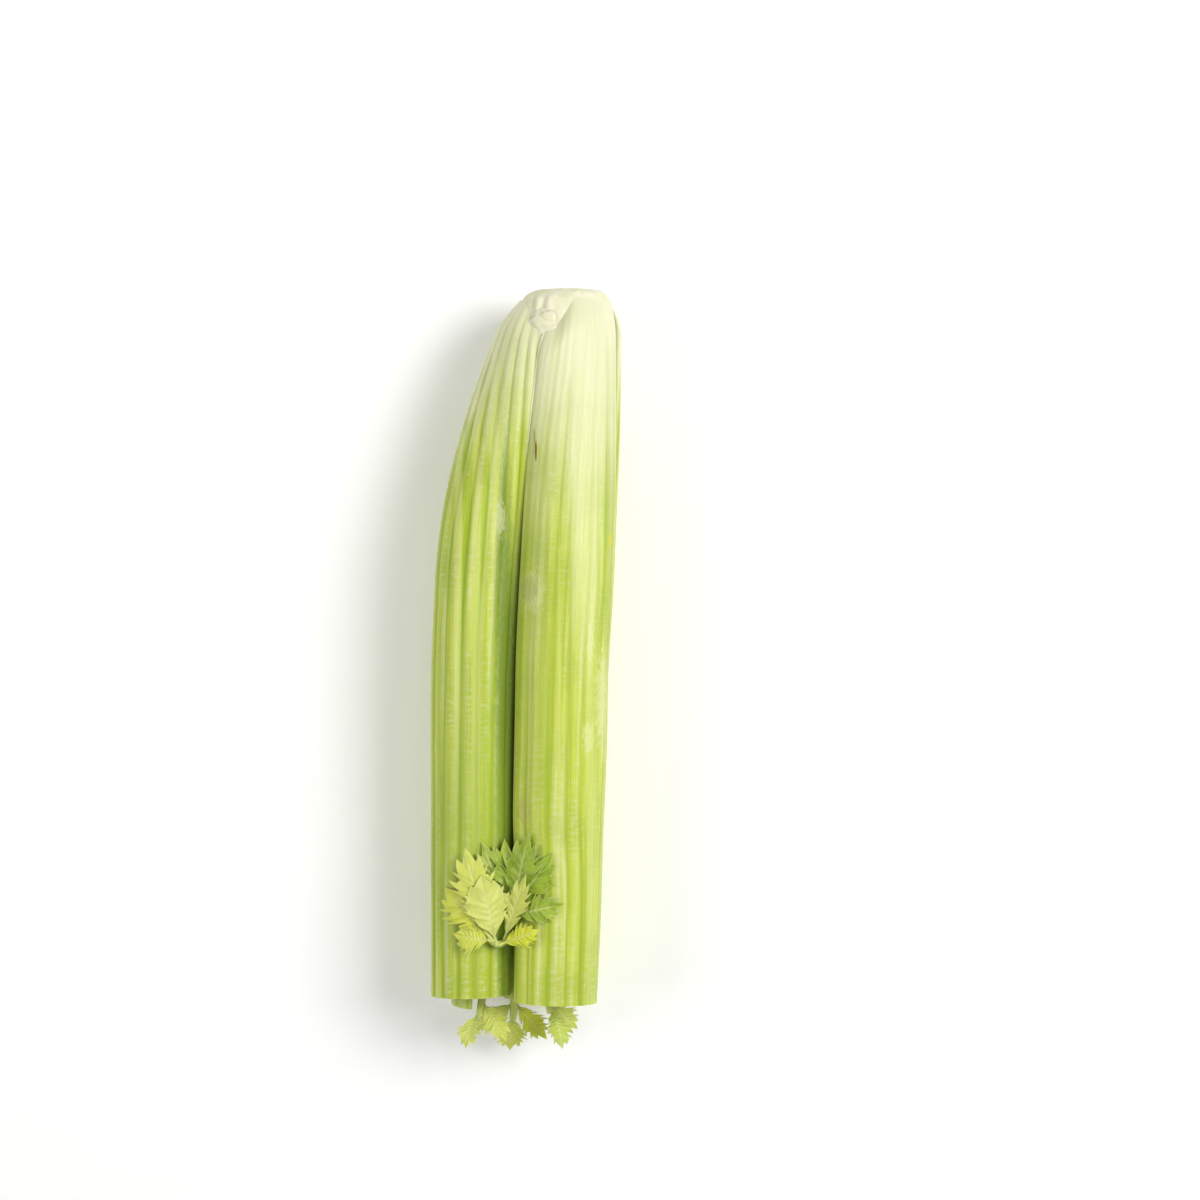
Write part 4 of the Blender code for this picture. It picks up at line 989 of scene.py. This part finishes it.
def leafMaterial(name):
    # Blade coloured by its tint, pale along the veins and paler toward the base.
    material, tree, shader = newMaterial(name)
    vein, edge, tint, along = (mark(tree, key) for key in ("vein", "edge", "tint", "leafAlong"))
    yellow, veinTint = colour(leafLook["yellow"]), colour(leafLook["vein"])
    here = places(tree)
    cells = grain(tree, here, leafLook["cellScale"], 3.0, 0.6)
    cloud = grain(tree, here, leafLook["cloudScale"])
    skin = stain(tree, yellow, colour(leafLook["pale"]), tint, *leafLook["paleTint"])
    skin = stain(tree, skin, colour(leafLook["green"]), tint, *leafLook["greenTint"])
    clouds = ranged(tree, cloud, *leafLook["deepClouds"])
    clouds = calc(tree, "MULTIPLY", clouds, ranged(tree, tint, *leafLook["deepTint"]))
    skin = paint(tree, clouds, skin, colour(leafLook["deep"]))
    skin = stain(tree, skin, yellow, cells, *leafLook["yellowCells"])
    skin = stain(tree, skin, veinTint, edge, *leafLook["paleEdge"])
    skin = stain(tree, skin, colour(leafLook["stem"]), along, *leafLook["stemEnd"])
    skin = stain(tree, skin, veinTint, vein, *leafLook["paleVeins"])
    height = calc(tree, "MULTIPLY", cells, leafLook["cellBump"])
    height = calc(tree, "SUBTRACT", height, calc(tree, "MULTIPLY", vein, leafLook["veinBump"]))
    dress(tree, shader, leafLook, skin, height)
    return material


def stemParts(path, radii, columns, groove, tint):
    # a tube of one tint all over
    grids = tube(path, radii, columns, groove)
    return [gridPart(grid, True, vein=0.5, edge=0.0, tint=tint, leafAlong=0.0) for grid in grids]


def makeSpray(name, spray, seed):
    # Grooved stem with its leaflets, each on a short thin stem of its own.
    steps, columns, groove, stemTint = leafForm["stem"]
    path = toRow(*smoothPath(spray["stem"], steps).T)
    parts = stemParts(path, np.linspace(*spray["radii"], steps), columns, groove, stemTint)
    steps, columns = leafForm["leafStem"]
    radii = np.linspace(*leafForm["leafStemRadii"], steps)
    start, reach = leafForm["leafStemReach"]
    for number, (base, tip, width, lay, tint, *toothing) in enumerate(spray["leaves"]):
        place, length = drapedPlace(base, tip, lay) if len(base) == 2 else freePlace(base, tip, lay)
        parts += leafSurface(width, length, place, tint, toothing[0] if toothing else 1.0, seed + number)
        along = np.linspace(start, reach * length, steps)
        path = place(along, np.zeros(steps), np.full(steps, -leafForm["leafStemDip"]))
        parts += stemParts(path, radii, columns, 0.0, tint)
    blade = leafMaterial(name + "_blade")
    makePiece(name + "_fine", joinParts(parts), blade, (name,), leafForm["creaseAngle"])


for index, (sprayName, spray) in enumerate(sprays.items()):
    makeSpray(sprayName, spray, 500 + 17 * index)    # each has its own seed
print("leaves made")

# Floor, light and camera
stageLook = {
    "floor": "FCFCFA", "floorHalf": 4, "floorRoughness": 0.8, "floorGlow": 0.10,
    "world": (0.97, 0.98, 1.0), "worldStrength": 0.27,
    "lights": (
        # place, size, watts
        ((0.62, 0.22, 0.80), 0.50, 7.7),
        ((-0.75, 0.05, 0.70), 0.55, 3.2),
        ((0.05, -0.60, 1.0), 0.6, 1.0),
    ),
}
half = stageLook["floorHalf"]
floorMesh = bpy.data.meshes.new("floor")
floorMesh.from_pydata([(-half, -half, 0), (half, -half, 0), (half, half, 0), (-half, half, 0)],
                      [], [(0, 1, 2, 3)])
floor = bpy.data.objects.new("floor", floorMesh)
bpy.context.scene.collection.objects.link(floor)
floorMaterial, _, floorShader = newMaterial("pale_floor")
floorShader.inputs["Base Color"].default_value = colour(stageLook["floor"])
floorShader.inputs["Roughness"].default_value = stageLook["floorRoughness"]
floorShader.inputs["Emission Color"].default_value = (1.0, 1.0, 1.0, 1.0)
floorShader.inputs["Emission Strength"].default_value = stageLook["floorGlow"]
floorMesh.materials.append(floorMaterial)

world = bpy.data.worlds.new("studio")
bpy.context.scene.world = world
world.use_nodes = True
backdrop = world.node_tree.nodes["Background"]
backdrop.inputs["Color"].default_value = (*stageLook["world"], 1.0)
backdrop.inputs["Strength"].default_value = stageLook["worldStrength"]
for number, (place, size, watts) in enumerate(stageLook["lights"]):
    lamp = bpy.data.lights.new(f"softbox_{number}", "AREA")
    lamp.shape = "SQUARE"
    lamp.size = size
    lamp.energy = watts
    lampObject = bpy.data.objects.new(f"softbox_{number}", lamp)
    lampObject.location = place
    lampObject.rotation_mode = "QUATERNION"
    lampObject.rotation_quaternion = (-Vector(place)).to_track_quat("-Z", "Y")
    bpy.context.scene.collection.objects.link(lampObject)

# x and s are measured from the heart's own axis and cut base
cameraLook = {"x": 79 * metresPerPixel, "s": 0.100, "height": 0.944, "lens": 85.0, "sensor": 36.0}
camera = bpy.data.cameras.new("camera")
camera.lens = cameraLook["lens"]
camera.sensor_width = cameraLook["sensor"]
cameraObject = bpy.data.objects.new("camera", camera)
cameraObject.location = (originX + cameraLook["x"], originY - cameraLook["s"], cameraLook["height"])
bpy.context.scene.collection.objects.link(cameraObject)
bpy.context.scene.camera = cameraObject
bpy.context.scene.view_settings.view_transform = "Standard"
print("stage made")
